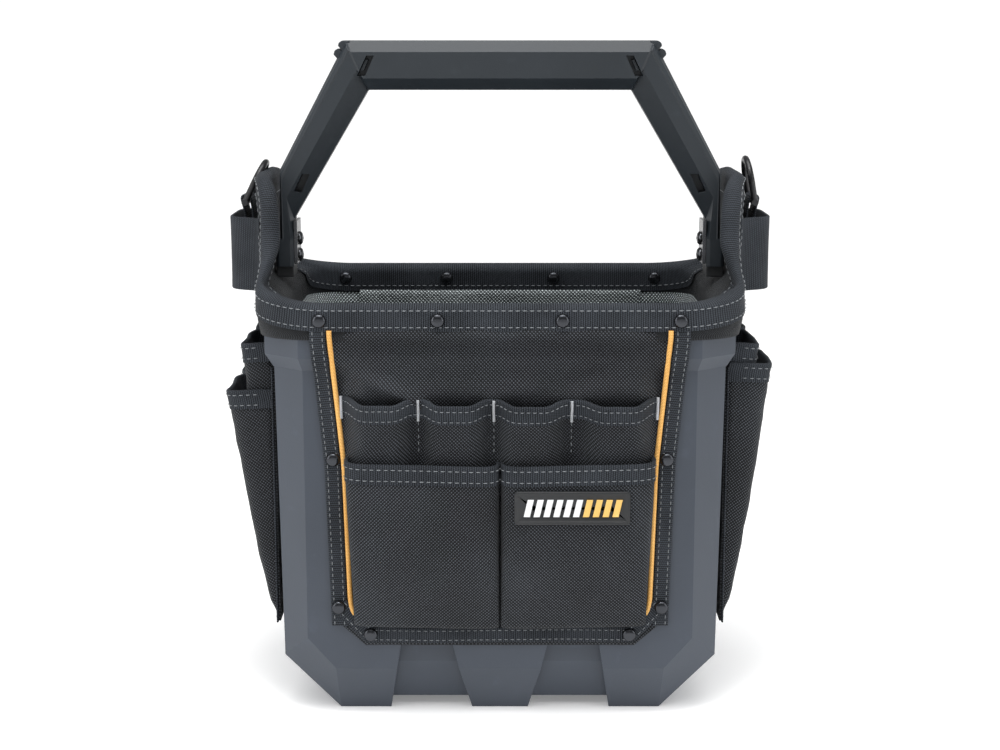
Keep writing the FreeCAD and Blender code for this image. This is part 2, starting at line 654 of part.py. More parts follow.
def make_trim(label, turned):
    """The webbing sewn round the sides and the foot of a panel."""
    trim = cranked_piece(label, turned, "2*gap + cloth", "cloth", mirrored(PANEL_SIDE + TRIM_INSIDE))
    rivet_holes(trim, f"{label}_holes", PANEL_RIVETS)


def make_piping(label, turned, side):
    """The corded edge just inside a side trim."""
    edge = [(f"{across} - gap", up) for across, up in TRIM_INSIDE[:3]]
    inner = [(f"{across} - pipe_size", up) for across, up in reversed(edge)]
    outline = [(f"{side}*({across})", up) for across, up in edge + inner]
    cranked_piece(label, turned, "2*gap + cloth", "pipe_size", outline)


def make_tool_slots(label, turned):
    """A row of four upright tool slots, open at the top."""
    slots = new_body(label, turned)
    near = "(tub_deep/2 + 2*gap + cloth)"
    outline = rectangle("-tool_half", "tool_half", "tool_low", "tool_high")
    pad(slots, polygon(slots, f"{label}_outline", "XZ_Plane", near, outline), "tool_deep")
    hollows = []
    for index in range(4):
        left = f"(-tool_half + {index}*tool_half/2 + tool_seam/2)"
        hollows.append(rectangle(left, f"{left} + tool_half/2 - tool_seam",
                                 f"-({near} + tool_deep - cloth)", f"-({near} + cloth)"))
    pocket(slots, polygon(slots, f"{label}_hollows", "XY_Plane", "tool_high", *hollows),
           "tool_high - tool_low - cloth")


POCKET_FACE = "(tub_deep/2 + 3*gap + cloth + tool_deep + pocket_deep)"
TOOL_FACE = "(tub_deep/2 + 2*gap + cloth + tool_deep)"


def make_front_pocket(label, turned, side):
    """A large box pocket, open at the top, in front of the tool slots."""
    box = new_body(label, turned)
    outline = rectangle(f"{side}*pocket_split", f"{side}*pocket_half",
                        f"-{POCKET_FACE}", f"-({POCKET_FACE} - pocket_deep)")
    tall = "(pocket_high - pocket_low)"
    pad(box, polygon(box, f"{label}_outline", "XY_Plane", "pocket_low", outline), tall)
    hollow = rectangle(f"{side}*(pocket_split + cloth)", f"{side}*(pocket_half - cloth)",
                       f"-({POCKET_FACE} - cloth)", f"-({POCKET_FACE} - pocket_deep + cloth)")
    pocket(box, polygon(box, f"{label}_hollow", "XY_Plane", "pocket_high", hollow),
           f"{tall} - cloth")


def make_binding(label, turned, left, right, high, face):
    """A strip of webbing along the top edge of a pocket's front."""
    strip = new_body(label, turned)
    outline = rectangle(left, right, f"{high} - bound", high)
    pad(strip, polygon(strip, f"{label}_outline", "XZ_Plane", f"{face} + gap", outline), "cloth")


def make_badge():
    """A moulded rubber name plate with a raised edge and no lettering."""
    badge = new_body("badge")
    outline = rectangle("badge_left", "badge_right", "badge_low", "badge_high")
    inside = rectangle("badge_left + badge_edge", "badge_right - badge_edge",
                       "badge_low + badge_edge", "badge_high - badge_edge")
    near = f"{POCKET_FACE} + gap"
    pad(badge, polygon(badge, "badge_outline", "XZ_Plane", near, outline), "badge_thick")
    pocket(badge, polygon(badge, "badge_field", "XZ_Plane", f"{near} + badge_thick", inside),
           "badge_thick/3")


# ---------------------------------------------------------------- the two sides

SIDE_FACE = "(tub_wide/2 + 2*gap + cloth)"


def make_side_panel(label, turned):
    panel = new_body(label, turned)
    outline = rectangle("-side_half", "side_half", "side_low", "side_high")
    pad(panel, polygon(panel, f"{label}_outline", "YZ_Plane", "tub_wide/2 + gap", outline), "cloth")


def make_side_trim(label, turned):
    """The bound edges down both sides and across the foot of a side panel."""
    trim = new_body(label, turned)
    outline = mirrored([
        ("side_half", "side_low"), ("side_half", "side_high"),
        ("side_half - side_edge/2", "side_high"), ("side_half - side_edge/2", "side_low + gap"),
    ])
    pad(trim, polygon(trim, f"{label}_outline", "YZ_Plane", SIDE_FACE, outline), "cloth")


def column(side):
    """Middle and width of the front (-1) or rear (+1) column of side pockets."""
    return f"{side}*(column_half + column_split)/2", "(column_half - column_split)"


def wedge_pocket(label, turned, side, outline, hollow):
    """A side pocket from its end view and the end view of its hollow."""
    wedge = new_body(label, turned)
    middle, wide = column(side)
    offset = f"-({middle})"
    pad(wedge, polygon(wedge, f"{label}_outline", "XZ_Plane", offset, outline), wide, both_ways=True)
    body_hollow = polygon(wedge, f"{label}_hollow", "XZ_Plane", offset, hollow)
    pocket(wedge, body_hollow, f"{wide} - 2*cloth", both_ways=True)


def make_upper_pocket(label, turned, side):
    def end_view(thick, over):
        return [(f"{SIDE_FACE} + {thick}", f"upper_low + {thick}"),
                (f"upper_foot_out - {thick}", f"upper_low + {thick}"),
                (f"upper_out - {thick}", f"upper_high + {over}"),
                (f"{SIDE_FACE} + lip + {thick}", f"upper_high + {over}"),
                (f"{SIDE_FACE} + lip + {thick}", "lip_high"),
                (f"{SIDE_FACE} + {thick}", "lip_low")]
    wedge_pocket(label, turned, side, end_view("0", "0"), end_view("cloth", "cloth"))


def make_outer_pocket(label, turned, side, out, high):
    """The deeper pocket, which stands out round the front of the upper one."""
    clear = "2*gap"
    spread = "(upper_out - upper_foot_out)/(upper_high - upper_low)"
    over_upper = f"upper_foot_out + ({high} - upper_low)*{spread}"

    def end_view(thick, over):
        return [(f"{SIDE_FACE} + {thick}", f"outer_low + {thick}"),
                (f"outer_foot_out - {thick}", f"outer_low + {thick}"),
                (f"{out} - {thick}", f"{high} + {over}"),
                (f"{over_upper} + {clear} + {thick}", f"{high} + {over}"),
                (f"upper_foot_out + {clear} + {thick}", f"upper_low - {clear} - {thick}"),
                (f"{SIDE_FACE} + {thick}", f"upper_low - {clear} - {thick}")]
    wedge_pocket(label, turned, side, end_view("0", "0"), end_view("cloth", "cloth"))


# ---------------------------------------------------------------- the whole bucket

def make_side(name, turned):
    """Everything on one side; the left is the right turned half round."""
    make_side_panel(f"{name}_side_panel", turned)
    make_side_trim(f"{name}_side_trim", turned)
    for place, side in (("front", -1), ("rear", 1)):
        along = -side if turned else side
        make_upper_pocket(f"{name}_upper_pocket_{place}", turned, along)
        make_outer_pocket(f"{name}_outer_pocket_{place}", turned, along,
                          f"outer_{name}_out", f"outer_{name}_high")
    make_handle_plate(f"handle_plate_{name}", turned)
    make_side_board(f"side_board_{name}", turned)
    make_ring_tab(f"d_ring_tab_{name}", turned)
    make_hammer_loop(f"hammer_loop_{name}", turned)


def make_face(name, turned):
    """Everything on the front or the back; the back is the front turned half round."""
    make_rim_band(f"{name}_rim_band", turned)
    make_panel(f"{name}_panel", turned)
    make_trim(f"{name}_panel_trim", turned)
    make_tool_slots(f"{name}_tool_slots", turned)
    make_binding(f"{name}_tool_binding", turned, "-tool_half", "tool_half", "tool_high", TOOL_FACE)
    for hand, side in (("left", -1), ("right", 1)):
        across = -side if turned else side
        make_piping(f"{name}_piping_{hand}", turned, across)
        make_front_pocket(f"{name}_pocket_{hand}", turned, across)
        make_binding(f"{name}_pocket_binding_{hand}", turned, f"{across}*pocket_split",
                     f"{across}*pocket_half", "pocket_high", POCKET_FACE)
    rivet_group(f"{name}_panel_rivets", PANEL_RIVETS, "tub_deep/2 + 2*gap + 2*cloth + gap/2",
                [1 if turned else -1])


make_tub()
make_base_board()
make_liner()
make_inner_pocket()
make_collar()
make_face("front", False)
make_face("back", True)
make_badge()
rivet_group("rim_rivets", RIM_RIVETS, "tub_deep/2 + lip + 2*gap + padding + cloth + gap/2", [-1, 1])
make_side("right", False)
make_side("left", True)
make_handle_half("handle_front_shell", False)
make_handle_half("handle_back_shell", True)
make_bolts()
make_d_ring("d_ring_left", -1, "lean_left")
make_d_ring("d_ring_right", 1, "lean_right")
doc.recompute()

for item in doc.Objects:
    if "Invalid" in item.State or "Error" in item.State:
        raise RuntimeError(f"{item.Name} failed: {item.State}")
for node in NODES:
    if node.Shape.isNull() or not node.Shape.isValid() or not node.Shape.Solids:
        raise RuntimeError(f"{node.Label} has no valid solid")

os.makedirs("parts", exist_ok=True)
for node in NODES:
    node.Shape.exportStep(f"parts/{node.Label}.step")
print(len(NODES), "sub-parts written")
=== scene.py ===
import math

import bmesh
import bpy
import numpy as np
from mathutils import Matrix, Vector


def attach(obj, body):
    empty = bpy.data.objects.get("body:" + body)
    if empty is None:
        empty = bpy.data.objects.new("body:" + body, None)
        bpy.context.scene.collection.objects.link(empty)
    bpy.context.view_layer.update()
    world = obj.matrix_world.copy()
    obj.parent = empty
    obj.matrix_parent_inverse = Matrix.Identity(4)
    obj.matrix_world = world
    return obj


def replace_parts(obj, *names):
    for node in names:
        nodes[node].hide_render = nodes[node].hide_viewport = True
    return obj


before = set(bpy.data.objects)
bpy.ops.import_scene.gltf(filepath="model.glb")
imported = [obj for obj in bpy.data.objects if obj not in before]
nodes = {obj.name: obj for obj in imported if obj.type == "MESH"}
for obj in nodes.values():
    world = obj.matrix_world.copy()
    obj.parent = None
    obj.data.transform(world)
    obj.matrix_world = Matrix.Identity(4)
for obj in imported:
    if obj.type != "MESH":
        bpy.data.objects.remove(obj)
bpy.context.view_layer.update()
mm = 0.001


# lengths are millimetres until a point is placed

def unit(v):
    return v / np.maximum(np.linalg.norm(v, axis=-1, keepdims=True), 1e-12)


def smooth(low, high, x):
    t = np.clip((x - low) / (high - low), 0, 1)
    return t * t * (3 - 2 * t)


def bump(middle, reach, x):
    # a bell that is 1 at middle and has died away at twice the reach
    return np.exp(-((x - middle) / reach) ** 2)


def wobble(x, y, seed, reach):
    # a gentle uneven field: the mean of six slanted sine waves with seeded directions
    rng = np.random.default_rng(seed)
    angle, phase = rng.uniform(0, math.pi, 6), rng.uniform(0, 2 * math.pi, 6)
    wave = rng.uniform(0.7, 1.8, 6) * 2 * math.pi / reach
    run = x[..., None] * np.cos(angle) + y[..., None] * np.sin(angle)
    return np.sin(run * wave + phase).mean(-1)


def onFace(face, along, out, up):
    # along the face, outwards from the middle of the bucket, and up, to metres in the frame
    along, out, up = np.broadcast_arrays(along, out, up)
    x, y = {"front": (along, -out), "back": (-along, out),
            "right": (out, along), "left": (-out, -along)}[face]
    return np.stack([x, y, up], -1) * mm


def facing(face):
    return onFace(face, 0.0, 1000.0, 0.0)


def arcLength(path):
    return np.concatenate([[0], np.cumsum(np.linalg.norm(np.diff(path, axis=0), axis=1))])


def atLength(path, where):
    along = arcLength(path)
    return np.stack([np.interp(where, along, path[:, k]) for k in range(path.shape[1])], -1)


def resample(path, step):
    length = arcLength(path)[-1]
    return atLength(path, np.linspace(0, length, max(int(round(length / step)) + 1, 2)))


def roundedLine(corners, radius, steps=9):
    # straight runs joined by quadratic curves that leave the runs radius before each corner
    corners = np.asarray(corners, float)
    out = [corners[:1]]
    for before, corner, after in zip(corners, corners[1:], corners[2:]):
        reach = [min(radius, np.linalg.norm(end - corner) * 0.48) for end in (before, after)]
        a, b = corner + unit(before - corner) * reach[0], corner + unit(after - corner) * reach[1]
        t = np.linspace(0, 1, steps)[:, None]
        out.append((1 - t) ** 2 * a + 2 * t * (1 - t) * corner + t ** 2 * b)
    return np.concatenate(out + [corners[-1:]])


def linked(name, data):
    made = bpy.data.objects.new(name, data)
    bpy.context.scene.collection.objects.link(made)
    return made


def place(piece, slotName):
    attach(piece, "bucket")
    return piece


def meshPiece(name, verts, faces, finishKey, slotName, uv=None):
    mesh = bpy.data.meshes.new(name)
    mesh.from_pydata(verts.tolist(), [], faces)
    if uv is not None:
        loops = np.zeros(len(mesh.loops), np.int32)
        mesh.loops.foreach_get("vertex_index", loops)
        layer = mesh.uv_layers.new(name="cloth")
        layer.data.foreach_set("uv", uv[loops].astype(np.float32).ravel())
    mesh.polygons.foreach_set("use_smooth", [True] * len(mesh.polygons))
    mesh.update()
    mesh.materials.append(finish[finishKey])
    return place(linked(name, mesh), slotName)


def clothUv(points):
    # distance along each row from its middle, and along each column from its start, in metres
    across = np.linalg.norm(np.diff(points, axis=1), axis=-1)
    up = np.linalg.norm(np.diff(points, axis=0), axis=-1)
    u = np.concatenate([np.zeros((len(points), 1)), np.cumsum(across, 1)], 1)
    v = np.concatenate([np.zeros((1, points.shape[1])), np.cumsum(up, 0)], 0)
    return np.stack([u - u[:, -1:] / 2, v], -1)


def gridPiece(name, points, finishKey, slotName, outward, uv=None, thick=0, joined=False):
    # points is rows x columns; outward says which side is out, as one vector or one for each quad
    rows, columns = points.shape[:2]
    uv = clothUv(points) if uv is None else uv
    r, c = np.meshgrid(np.arange(rows - 1), np.arange(columns - 1), indexing="ij")
    first = r * columns + c
    quads = np.stack([first, first + columns, first + columns + 1, first + 1], -1)
    normal = np.cross(points[1:, 1:] - points[:-1, :-1], points[:-1, 1:] - points[1:, :-1])
    centre = (points[1:, 1:] + points[:-1, :-1]) / 2
    out = outward(centre) if callable(outward) else outward
    if (normal * out).sum() < 0:
        quads = quads[..., ::-1]
    piece = meshPiece(name, points.reshape(-1, 3), quads.reshape(-1, 4).tolist(), finishKey,
                      slotName, uv.reshape(-1, 2))
    if joined:
        weld(piece.data)
    if thick:
        solid = piece.modifiers.new("thickness", "SOLIDIFY")
        solid.thickness, solid.offset = thick * mm, -1
    return piece


def weld(mesh):
    work = bmesh.new()
    work.from_mesh(mesh)
    bmesh.ops.remove_doubles(work, verts=work.verts, dist=2e-6)
    work.to_mesh(mesh)
    work.free()


def along(path, normal):
    # unit vectors along a path, across it, and outwards square to both
    forward = unit(np.gradient(path, axis=0))
    across = unit(np.cross(forward, normal))
    return forward, across, np.cross(across, forward)


def carried(name, path, normal, profile, finishKey, slotName):
    # a closed profile of (across, outwards) pairs carried along a path; both ends are drawn shut
    forward, across, out = along(path, normal)
    points = (path[:, None] + across[:, None] * profile[None, :, :1] * mm
              + out[:, None] * profile[None, :, 1:] * mm)
    points = np.concatenate([0 * points[:1] + path[0], points, 0 * points[:1] + path[-1]])
    core = np.concatenate([path[:1], path, path[-1:]])[:, None]
    run = arcLength(core[:, 0])
    girth = arcLength(np.concatenate([profile, profile[:1]]) * mm)[:-1]
    uv = np.stack(np.broadcast_arrays(run[:, None], girth[None]), -1)

    def away(centre):
        return centre - (core[1:] + core[:-1]) / 2
    points = np.concatenate([points, points[:, :1]], 1)
    uv = np.concatenate([uv, uv[:, :1] + [0, girth[-1] + girth[1]]], 1)
    return gridPiece(name, points, finishKey, slotName, away, uv=uv, joined=True)


def ovalProfile(wide, high, sides=12):
    angle = np.linspace(0, 2 * math.pi, sides, endpoint=False)
    return np.stack([np.cos(angle) * wide / 2, np.sin(angle) * high / 2], 1)


def strapProfile(wide, thick):
    # a flat strap with rolled edges, a little fuller at the edges than between them
    hollow = 0.25
    angle = np.linspace(-0.5 * math.pi, 0.5 * math.pi, 5)
    edge = np.stack([np.cos(angle) * thick / 2 + wide / 2 - thick / 2, np.sin(angle) * thick / 2], 1)
    across = np.linspace(wide / 2 - thick, -wide / 2 + thick, 7)[1:-1]
    top = np.stack([across, thick / 2 - hollow * (1 - (2 * across / wide) ** 2)], 1)
    return np.concatenate([edge, top, edge[::-1] * [-1, 1], top[::-1] * [1, -1]])


def strap(name, path, normal, wide, thick):
    return carried(name, path, normal, strapProfile(wide, thick), "webbing", "webbing")


def sewnFrame(surface, t, d, outward):
    # place, outward normal and upward direction of a sheet, from small steps along it
    here = surface(t, d)
    alongT = surface(t + 1e-3, d) - surface(t - 1e-3, d)
    down = surface(t, d + 0.25) - surface(t, d - 0.25)
    normal = unit(np.cross(alongT, down))
    side = np.sign((normal * outward).sum(-1).mean())
    return here, normal * (side if side else 1), -unit(down)


def edgeBinding(name, surface, t, deep, outward):
    # tape folded over a sheet's top edge: down the outside, round the edge, and down the inside
    thick, lift = 1.6, 0.8
    drops = np.linspace(deep, thick / 2, 6)
    outer, normal, _ = sewnFrame(surface, t[None], drops[:, None], outward)
    hollow = 0.35 * np.sin(math.pi * drops / deep)[:, None, None]
    outer = outer + normal * (lift - hollow) * mm
    tip, normalTip, upTip = sewnFrame(surface, t[None], np.array([[thick / 2]]), outward)
    angle = np.linspace(0, math.pi, 7)[1:-1, None, None]
    radius = (thick / 2 + lift) * mm
    fold = (tip - normalTip * thick / 2 * mm
            + (normalTip * np.cos(angle) + upTip * np.sin(angle)) * radius)
    back = np.linspace(thick / 2, deep, 5)
    inner, normalIn, _ = sewnFrame(surface, t[None], back[:, None], outward)
    inner = inner - normalIn * (thick + lift) * mm
    fan = np.concatenate([normal, np.repeat(upTip, 5, 0), -normalIn])
    return gridPiece(name, np.concatenate([outer, fold, inner]), "webbing", "webbing",
                     fan[1:, 1:] + fan[:-1, :-1])


def seamLine(surface, t, d, outward, lift=0.9):
    # a line of places and normals that a row of stitches follows
    here, normal, _ = sewnFrame(surface, t, d + 0 * t, outward)
    return here + normal * lift * mm, normal


def tubeFaces(rings, sides, count):
    # quads round each of count tubes whose points follow one another, and a cap at both ends
    r, c = np.meshgrid(np.arange(rings - 1) * sides, np.arange(sides), indexing="ij")
    n = (c + 1) % sides
    quads = np.stack([r + c, r + sides + c, r + sides + n, r + n], -1).reshape(-1, 4)
    caps = np.array([np.arange(sides), rings * sides - 1 - np.arange(sides)])
    firsts = np.arange(count)[:, None, None] * rings * sides
    return (quads + firsts).reshape(-1, 4).tolist() + (caps + firsts).reshape(-1, sides).tolist()


def stitches(name, runs, long=3.4, pitch=5.2, radius=0.42, finishKey="thread"):
    # each stitch is a thin spindle whose ends dip into the cloth; all of them are one piece
    centres, reaches, outs = [], [], []
    for path, normal in runs:
        length = arcLength(path)
        count = max(int(length[-1] / (pitch * mm)), 1)
        at = (np.arange(count) + 0.5) * length[-1] / count
        start, end = atLength(path, at - long / 2 * mm), atLength(path, at + long / 2 * mm)
        centres.append((start + end) / 2)
        reaches.append((end - start) / 2)
        outs.append(np.stack([np.interp(at, length, normal[:, k]) for k in range(3)], 1))
    centre, reach, out = (np.concatenate(rows)[:, None, None] for rows in (centres, reaches, outs))
    side = unit(np.cross(reach, unit(out)))
    out = np.cross(side, unit(reach))
    step = np.array([-1.0, -0.78, 0.0, 0.78, 1.0])[:, None, None]
    girth = np.array([0.12, 0.75, 1.0, 0.75, 0.12])[:, None, None] * radius * mm
    sink = np.array([-1.0, -0.2, 0.3, -0.2, -1.0])[:, None, None] * radius * mm
    angle = np.linspace(0, 2 * math.pi, 6, endpoint=False)[:, None]
    ring = side * np.cos(angle) + out * np.sin(angle)
    points = centre + reach * step + out * sink + ring * girth
    uv = np.zeros(points.shape[:3] + (2,))
    uv[..., 0] = (step * long / 2 * mm)[..., 0]
    uv[..., 1] = (angle * radius * mm)[..., 0]
    faces = tubeFaces(5, 6, len(centre))
    normal = np.cross(points[0, 1, 0] - points[0, 0, 0], points[0, 1, 1] - points[0, 0, 0])
    if np.dot(normal, points[0, 0, 0] - centre[0, 0, 0]) < 0:
        faces = [face[::-1] for face in faces]
    return meshPiece(name, points.reshape(-1, 3), faces, finishKey, "webbing", uv.reshape(-1, 2))


class Shade:
    # wraps one socket, so that sums and products of patterns read as expressions
    def __init__(self, tree, socket):
        self.tree, self.socket = tree, socket

    def node(self, kind, settings=None, output=0, **inputs):
        made = self.tree.nodes.new(kind)
        for key, val in (settings or {}).items():
            setattr(made, key, val)
        for key, val in inputs.items():
            numbered = key[0] == "i" and key[1:].isdigit()
            spot = made.inputs[int(key[1:]) if numbered else key]
            if isinstance(val, Shade):
                self.tree.links.new(val.socket, spot)
            else:
                spot.default_value = val
        return Shade(self.tree, made.outputs[output])

    def math(self, operation, other=0.0, flipped=False):
        first, second = (other, self) if flipped else (self, other)
        return self.node("ShaderNodeMath", {"operation": operation}, i0=first, i1=second)

    def sin(self): return self.math("SINE")
    def abs(self): return self.math("ABSOLUTE")

    def between(self, low, high):
        return self.node("ShaderNodeMapRange", {"interpolation_type": "SMOOTHSTEP"},
                         i0=self, i1=low, i2=high)

    def mix(self, low, high):
        # low and high are colours without their alpha
        return self.node("ShaderNodeMix", {"data_type": "RGBA"}, output=2,
                         i0=self, i6=(*low, 1), i7=(*high, 1))


for word, operation in (("add", "ADD"), ("sub", "SUBTRACT"), ("mul", "MULTIPLY"),
                        ("truediv", "DIVIDE"), ("pow", "POWER")):
    setattr(Shade, f"__{word}__", lambda self, other, kind=operation: self.math(kind, other))
    setattr(Shade, f"__r{word}__", lambda self, other, kind=operation: self.math(kind, other, True))


def principled(made):
    made.use_nodes = True
    return next(n for n in made.node_tree.nodes if n.type == "BSDF_PRINCIPLED").inputs


def material(name, build, roughness=0.5, metallic=0.0, sheen=0.0, specular=0.5):
    made = bpy.data.materials.new(name)
    shader = principled(made)
    for key, val in {"Roughness": roughness, "Metallic": metallic, "Sheen Weight": sheen,
                     "Sheen Roughness": 0.5, "Specular IOR Level": specular}.items():
        shader[key].default_value = val
    tree = made.node_tree
    start = Shade(tree, None)
    coords = tree.nodes.new("ShaderNodeTexCoord")
    split = tree.nodes.new("ShaderNodeSeparateXYZ")
    tree.links.new(coords.outputs["UV"], split.inputs[0])
    result = build({"start": start, "object": Shade(tree, coords.outputs["Object"]),
                    "u": Shade(tree, split.outputs[0]), "v": Shade(tree, split.outputs[1])})
    for key in ("Base Color", "Roughness"):
        if key in result:
            tree.links.new(result[key].socket, shader[key])
    relief = start.node("ShaderNodeBump", Height=result["height"], Distance=result["depth"], Strength=1.0)
    tree.links.new(relief.socket, shader["Normal"])
    return made


def noiseAt(here, scale, detail=3.0):
    return here["start"].node("ShaderNodeTexNoise", Vector=here["object"], Scale=scale, Detail=detail)


def weaveMaterial(name, dark, light, period, depth=0.00035):
    # two sets of yarns on the diagonals; where one lies over the other it stands up, and its colour there is
    # painted paler as a painted highlight
    def build(here):
        u, v = here["u"], here["v"]
        turn = 2 * math.pi / (period * math.sqrt(2))
        rising, falling = ((u + v) * turn).sin(), ((u - v) * turn).sin()
        yarn = rising * 0.3 + falling * 0.2 + rising * falling * 0.28 + 0.5
        cloud = noiseAt(here, 14.0)
        fuzz = noiseAt(here, 900.0, 2.0)
        # tone: the weave pattern with a painted highlight on the raised yarn crests, plus random cloud and
        # fuzz
        tone = (yarn * 0.85 + cloud * 0.5 - 0.25 + (fuzz - 0.5) * 0.35).between(0.2, 1.05)
        return {"Base Color": tone.mix(dark, light), "height": yarn + fuzz * 0.25, "depth": depth,
                "Roughness": 0.7 + (cloud - 0.5) * 0.2}
    return material(name, build, sheen=0.06, specular=0.2)


def webbingMaterial(name, dark, light, period=1.7 * mm, depth=0.00035):
    # ribs across the strip, each a row of small slanted yarns
    def build(here):
        u, v = here["u"], here["v"]
        slope = u * (math.pi / period)
        rib = slope.sin().abs() ** 0.6
        yarn = (v * (2 * math.pi / (1.5 * mm)) + slope).sin() * 0.5 + 0.5
        cloud = noiseAt(here, 30.0)
        fuzz = noiseAt(here, 1100.0, 2.0)
        tone = rib * 0.6 + yarn * rib * 0.35 + (cloud - 0.5) * 0.5 + (fuzz - 0.5) * 0.3
        return {"Base Color": tone.between(0.1, 1.1).mix(dark, light),
                "height": rib + yarn * 0.25 + fuzz * 0.2, "depth": depth}
    return material(name, build, roughness=0.7, sheen=0.02, specular=0.12)


def plasticMaterial(name, base, pale, grain=0.00006, roughness=0.5):
    # a fine spark-eroded grain, with handling scuffs that are paler and duller
    def build(here):
        grit = noiseAt(here, 2600.0, 2.0)
        pebble = noiseAt(here, 900.0, 2.0)
        cloud = noiseAt(here, 9.0, 4.0)
        scuff = noiseAt(here, 60.0, 6.0).between(0.6, 0.75) * 0.25
        tone = ((cloud - 0.5) * 0.7 + (grit - 0.5) * 0.25 + scuff + 0.35).between(0.0, 1.0)
        dull = roughness + (cloud - 0.5) * 0.12 + scuff * 0.4
        return {"Base Color": tone.mix(base, pale), "Roughness": dull,
                "height": grit * 0.6 + pebble * 0.8, "depth": grain}
    return material(name, build, specular=0.35)


def metalMaterial(name, color, roughness, metallic):
    def build(here):
        cloud, grit = noiseAt(here, 45.0), noiseAt(here, 1500.0)
        dark = [c * 0.75 for c in color]
        return {"Base Color": cloud.between(0.3, 0.7).mix(dark, color),
                "Roughness": roughness + (cloud - 0.5) * 0.2, "height": grit, "depth": 0.00003}
    return material(name, build, metallic=metallic)


def threadMaterial(name, dark, light):
    def build(here):
        turns = [here[key] * (2 * math.pi / (long * mm)) for key, long in (("u", 1.1), ("v", 0.8))]
        twist = (turns[0] + turns[1]).sin()
        return {"Base Color": (twist * 0.35 + 0.6).mix(dark, light), "height": twist, "depth": 0.00008}
    return material(name, build, roughness=0.55, sheen=0.2)


finish = {
    "tub": plasticMaterial("tubPlastic", (0.035, 0.043, 0.057), (0.058, 0.069, 0.090), roughness=0.42),
    "handle": plasticMaterial("handlePlastic", (0.013, 0.017, 0.021), (0.026, 0.032, 0.039), roughness=0.40),
    "cloth": weaveMaterial("ballisticCloth", (0.0012, 0.0015, 0.0021), (0.074, 0.083, 0.097),
                           1.9 * mm, 0.0005),
    "collarCloth": weaveMaterial("collarCloth", (0.003, 0.0036, 0.0045), (0.036, 0.041, 0.048), 1.4 * mm),
    "lining": weaveMaterial("liningCloth", (0.05, 0.058, 0.060), (0.80, 0.88, 0.90), 2.2 * mm, 0.0006),
    "webbing": webbingMaterial("ribbedWebbing", (0.0012, 0.0015, 0.0020), (0.052, 0.059, 0.070)),
    "piping": webbingMaterial("amberPiping", (0.52, 0.22, 0.035), (1.0, 0.62, 0.22), 1.1 * mm, 0.0002),
    "thread": threadMaterial("paleThread", (0.09, 0.098, 0.105), (0.27, 0.29, 0.31)),
    "bartack": threadMaterial("bartackThread", (0.30, 0.31, 0.33), (0.66, 0.68, 0.71)),
    "rivet": metalMaterial("rivetMetal", (0.05, 0.053, 0.06), 0.16, 0.85),
    "ring": metalMaterial("ringEnamel", (0.018, 0.018, 0.020), 0.28, 0.4),
    "zinc": metalMaterial("darkZinc", (0.08, 0.083, 0.09), 0.28, 0.9),
    "rubber": plasticMaterial("plateRubber", (0.010, 0.011, 0.012), (0.03, 0.031, 0.034), 0.00004, 0.42),
    "markPale": plasticMaterial("markPale", (0.62, 0.63, 0.64), (0.85, 0.86, 0.87), 0.00002, 0.4),
    "markAmber": plasticMaterial("markAmber", (0.66, 0.40, 0.10), (0.86, 0.58, 0.20), 0.00002, 0.4),
    "board": plasticMaterial("boardPlastic", (0.012, 0.013, 0.014), (0.03, 0.032, 0.034)),
}
print("materials made")


def dress(nodeName, finishKey):
    # a CAD node keeps its shape and takes its finish
    node = nodes[nodeName]
    node.data.materials.clear()
    node.data.materials.append(finish[finishKey])


def softEdges(piece, width, segments=2, keepSharp=True, **limits):
    # rounds the edges that the limits pick out, and keeps large faces flat
    bevel = piece.modifiers.new("softEdges", "BEVEL")
    bevel.width, bevel.segments = width * mm, segments
    for key, val in limits.items():
        setattr(bevel, key, val)
    flat = piece.modifiers.new("flatFaces", "WEIGHTED_NORMAL")
    flat.weight, flat.keep_sharp = 100, keepSharp


def makeTub():
    # a merged copy of the CAD solid; long sharp edges are rounded, short ones stay sharp
    work = bmesh.new()
    work.from_mesh(nodes["body_shell"].data)
    bmesh.ops.remove_doubles(work, verts=work.verts, dist=1e-5)
    bmesh.ops.dissolve_limit(work, angle_limit=math.radians(0.6), verts=work.verts, edges=work.edges)
    weight = work.edges.layers.float.new("bevel_weight_edge")
    for edge in work.edges:
        turn = edge.calc_face_angle(0) if len(edge.link_faces) == 2 else 0
        if turn > math.radians(9):
            if edge.calc_length() > 9 * mm:
                edge[weight] = 1.0
            elif turn > math.radians(30):
                edge.smooth = False
    mesh = bpy.data.meshes.new("tub")
    work.to_mesh(mesh)
    work.free()
    mesh.materials.clear()
    mesh.materials.append(finish["tub"])
    mesh.polygons.foreach_set("use_smooth", [True] * len(mesh.polygons))
    piece = place(linked("tub", mesh), "tub_plastic")
    softEdges(piece, 2.4, 3, limit_method="WEIGHT")
    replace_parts(piece, "body_shell")


# bow handle: two half shells, mitred at the corners; sections are (share, depth) pairs
handle = {"top": 512.0, "barLow": 474.0, "cornerOut": 119.8, "cornerIn": 103.0,
          "elbowOut": (173.2, 412.0), "elbowIn": (163.0, 373.0), "step": 357.0, "foot": 336.0,
          "waistOut": 173.8, "footOut": 177.5, "footIn": 163.0, "seam": 0.12,
          "bar": [(0, 9), (0.08, 12), (0.13, 14), (0.23, 18), (0.26, 18), (0.76, 18), (1, 9)],
          "leg": [(0, 9), (0.045, 12.5), (0.075, 15.4), (0.16, 17.6), (0.2, 17.0), (0.55, 17.0), (1, 6.5)],
          "block": [(0, 13), (0.05, 14), (0.1, 15), (0.2, 16), (0.3, 16), (0.8, 16), (1, 15)]}


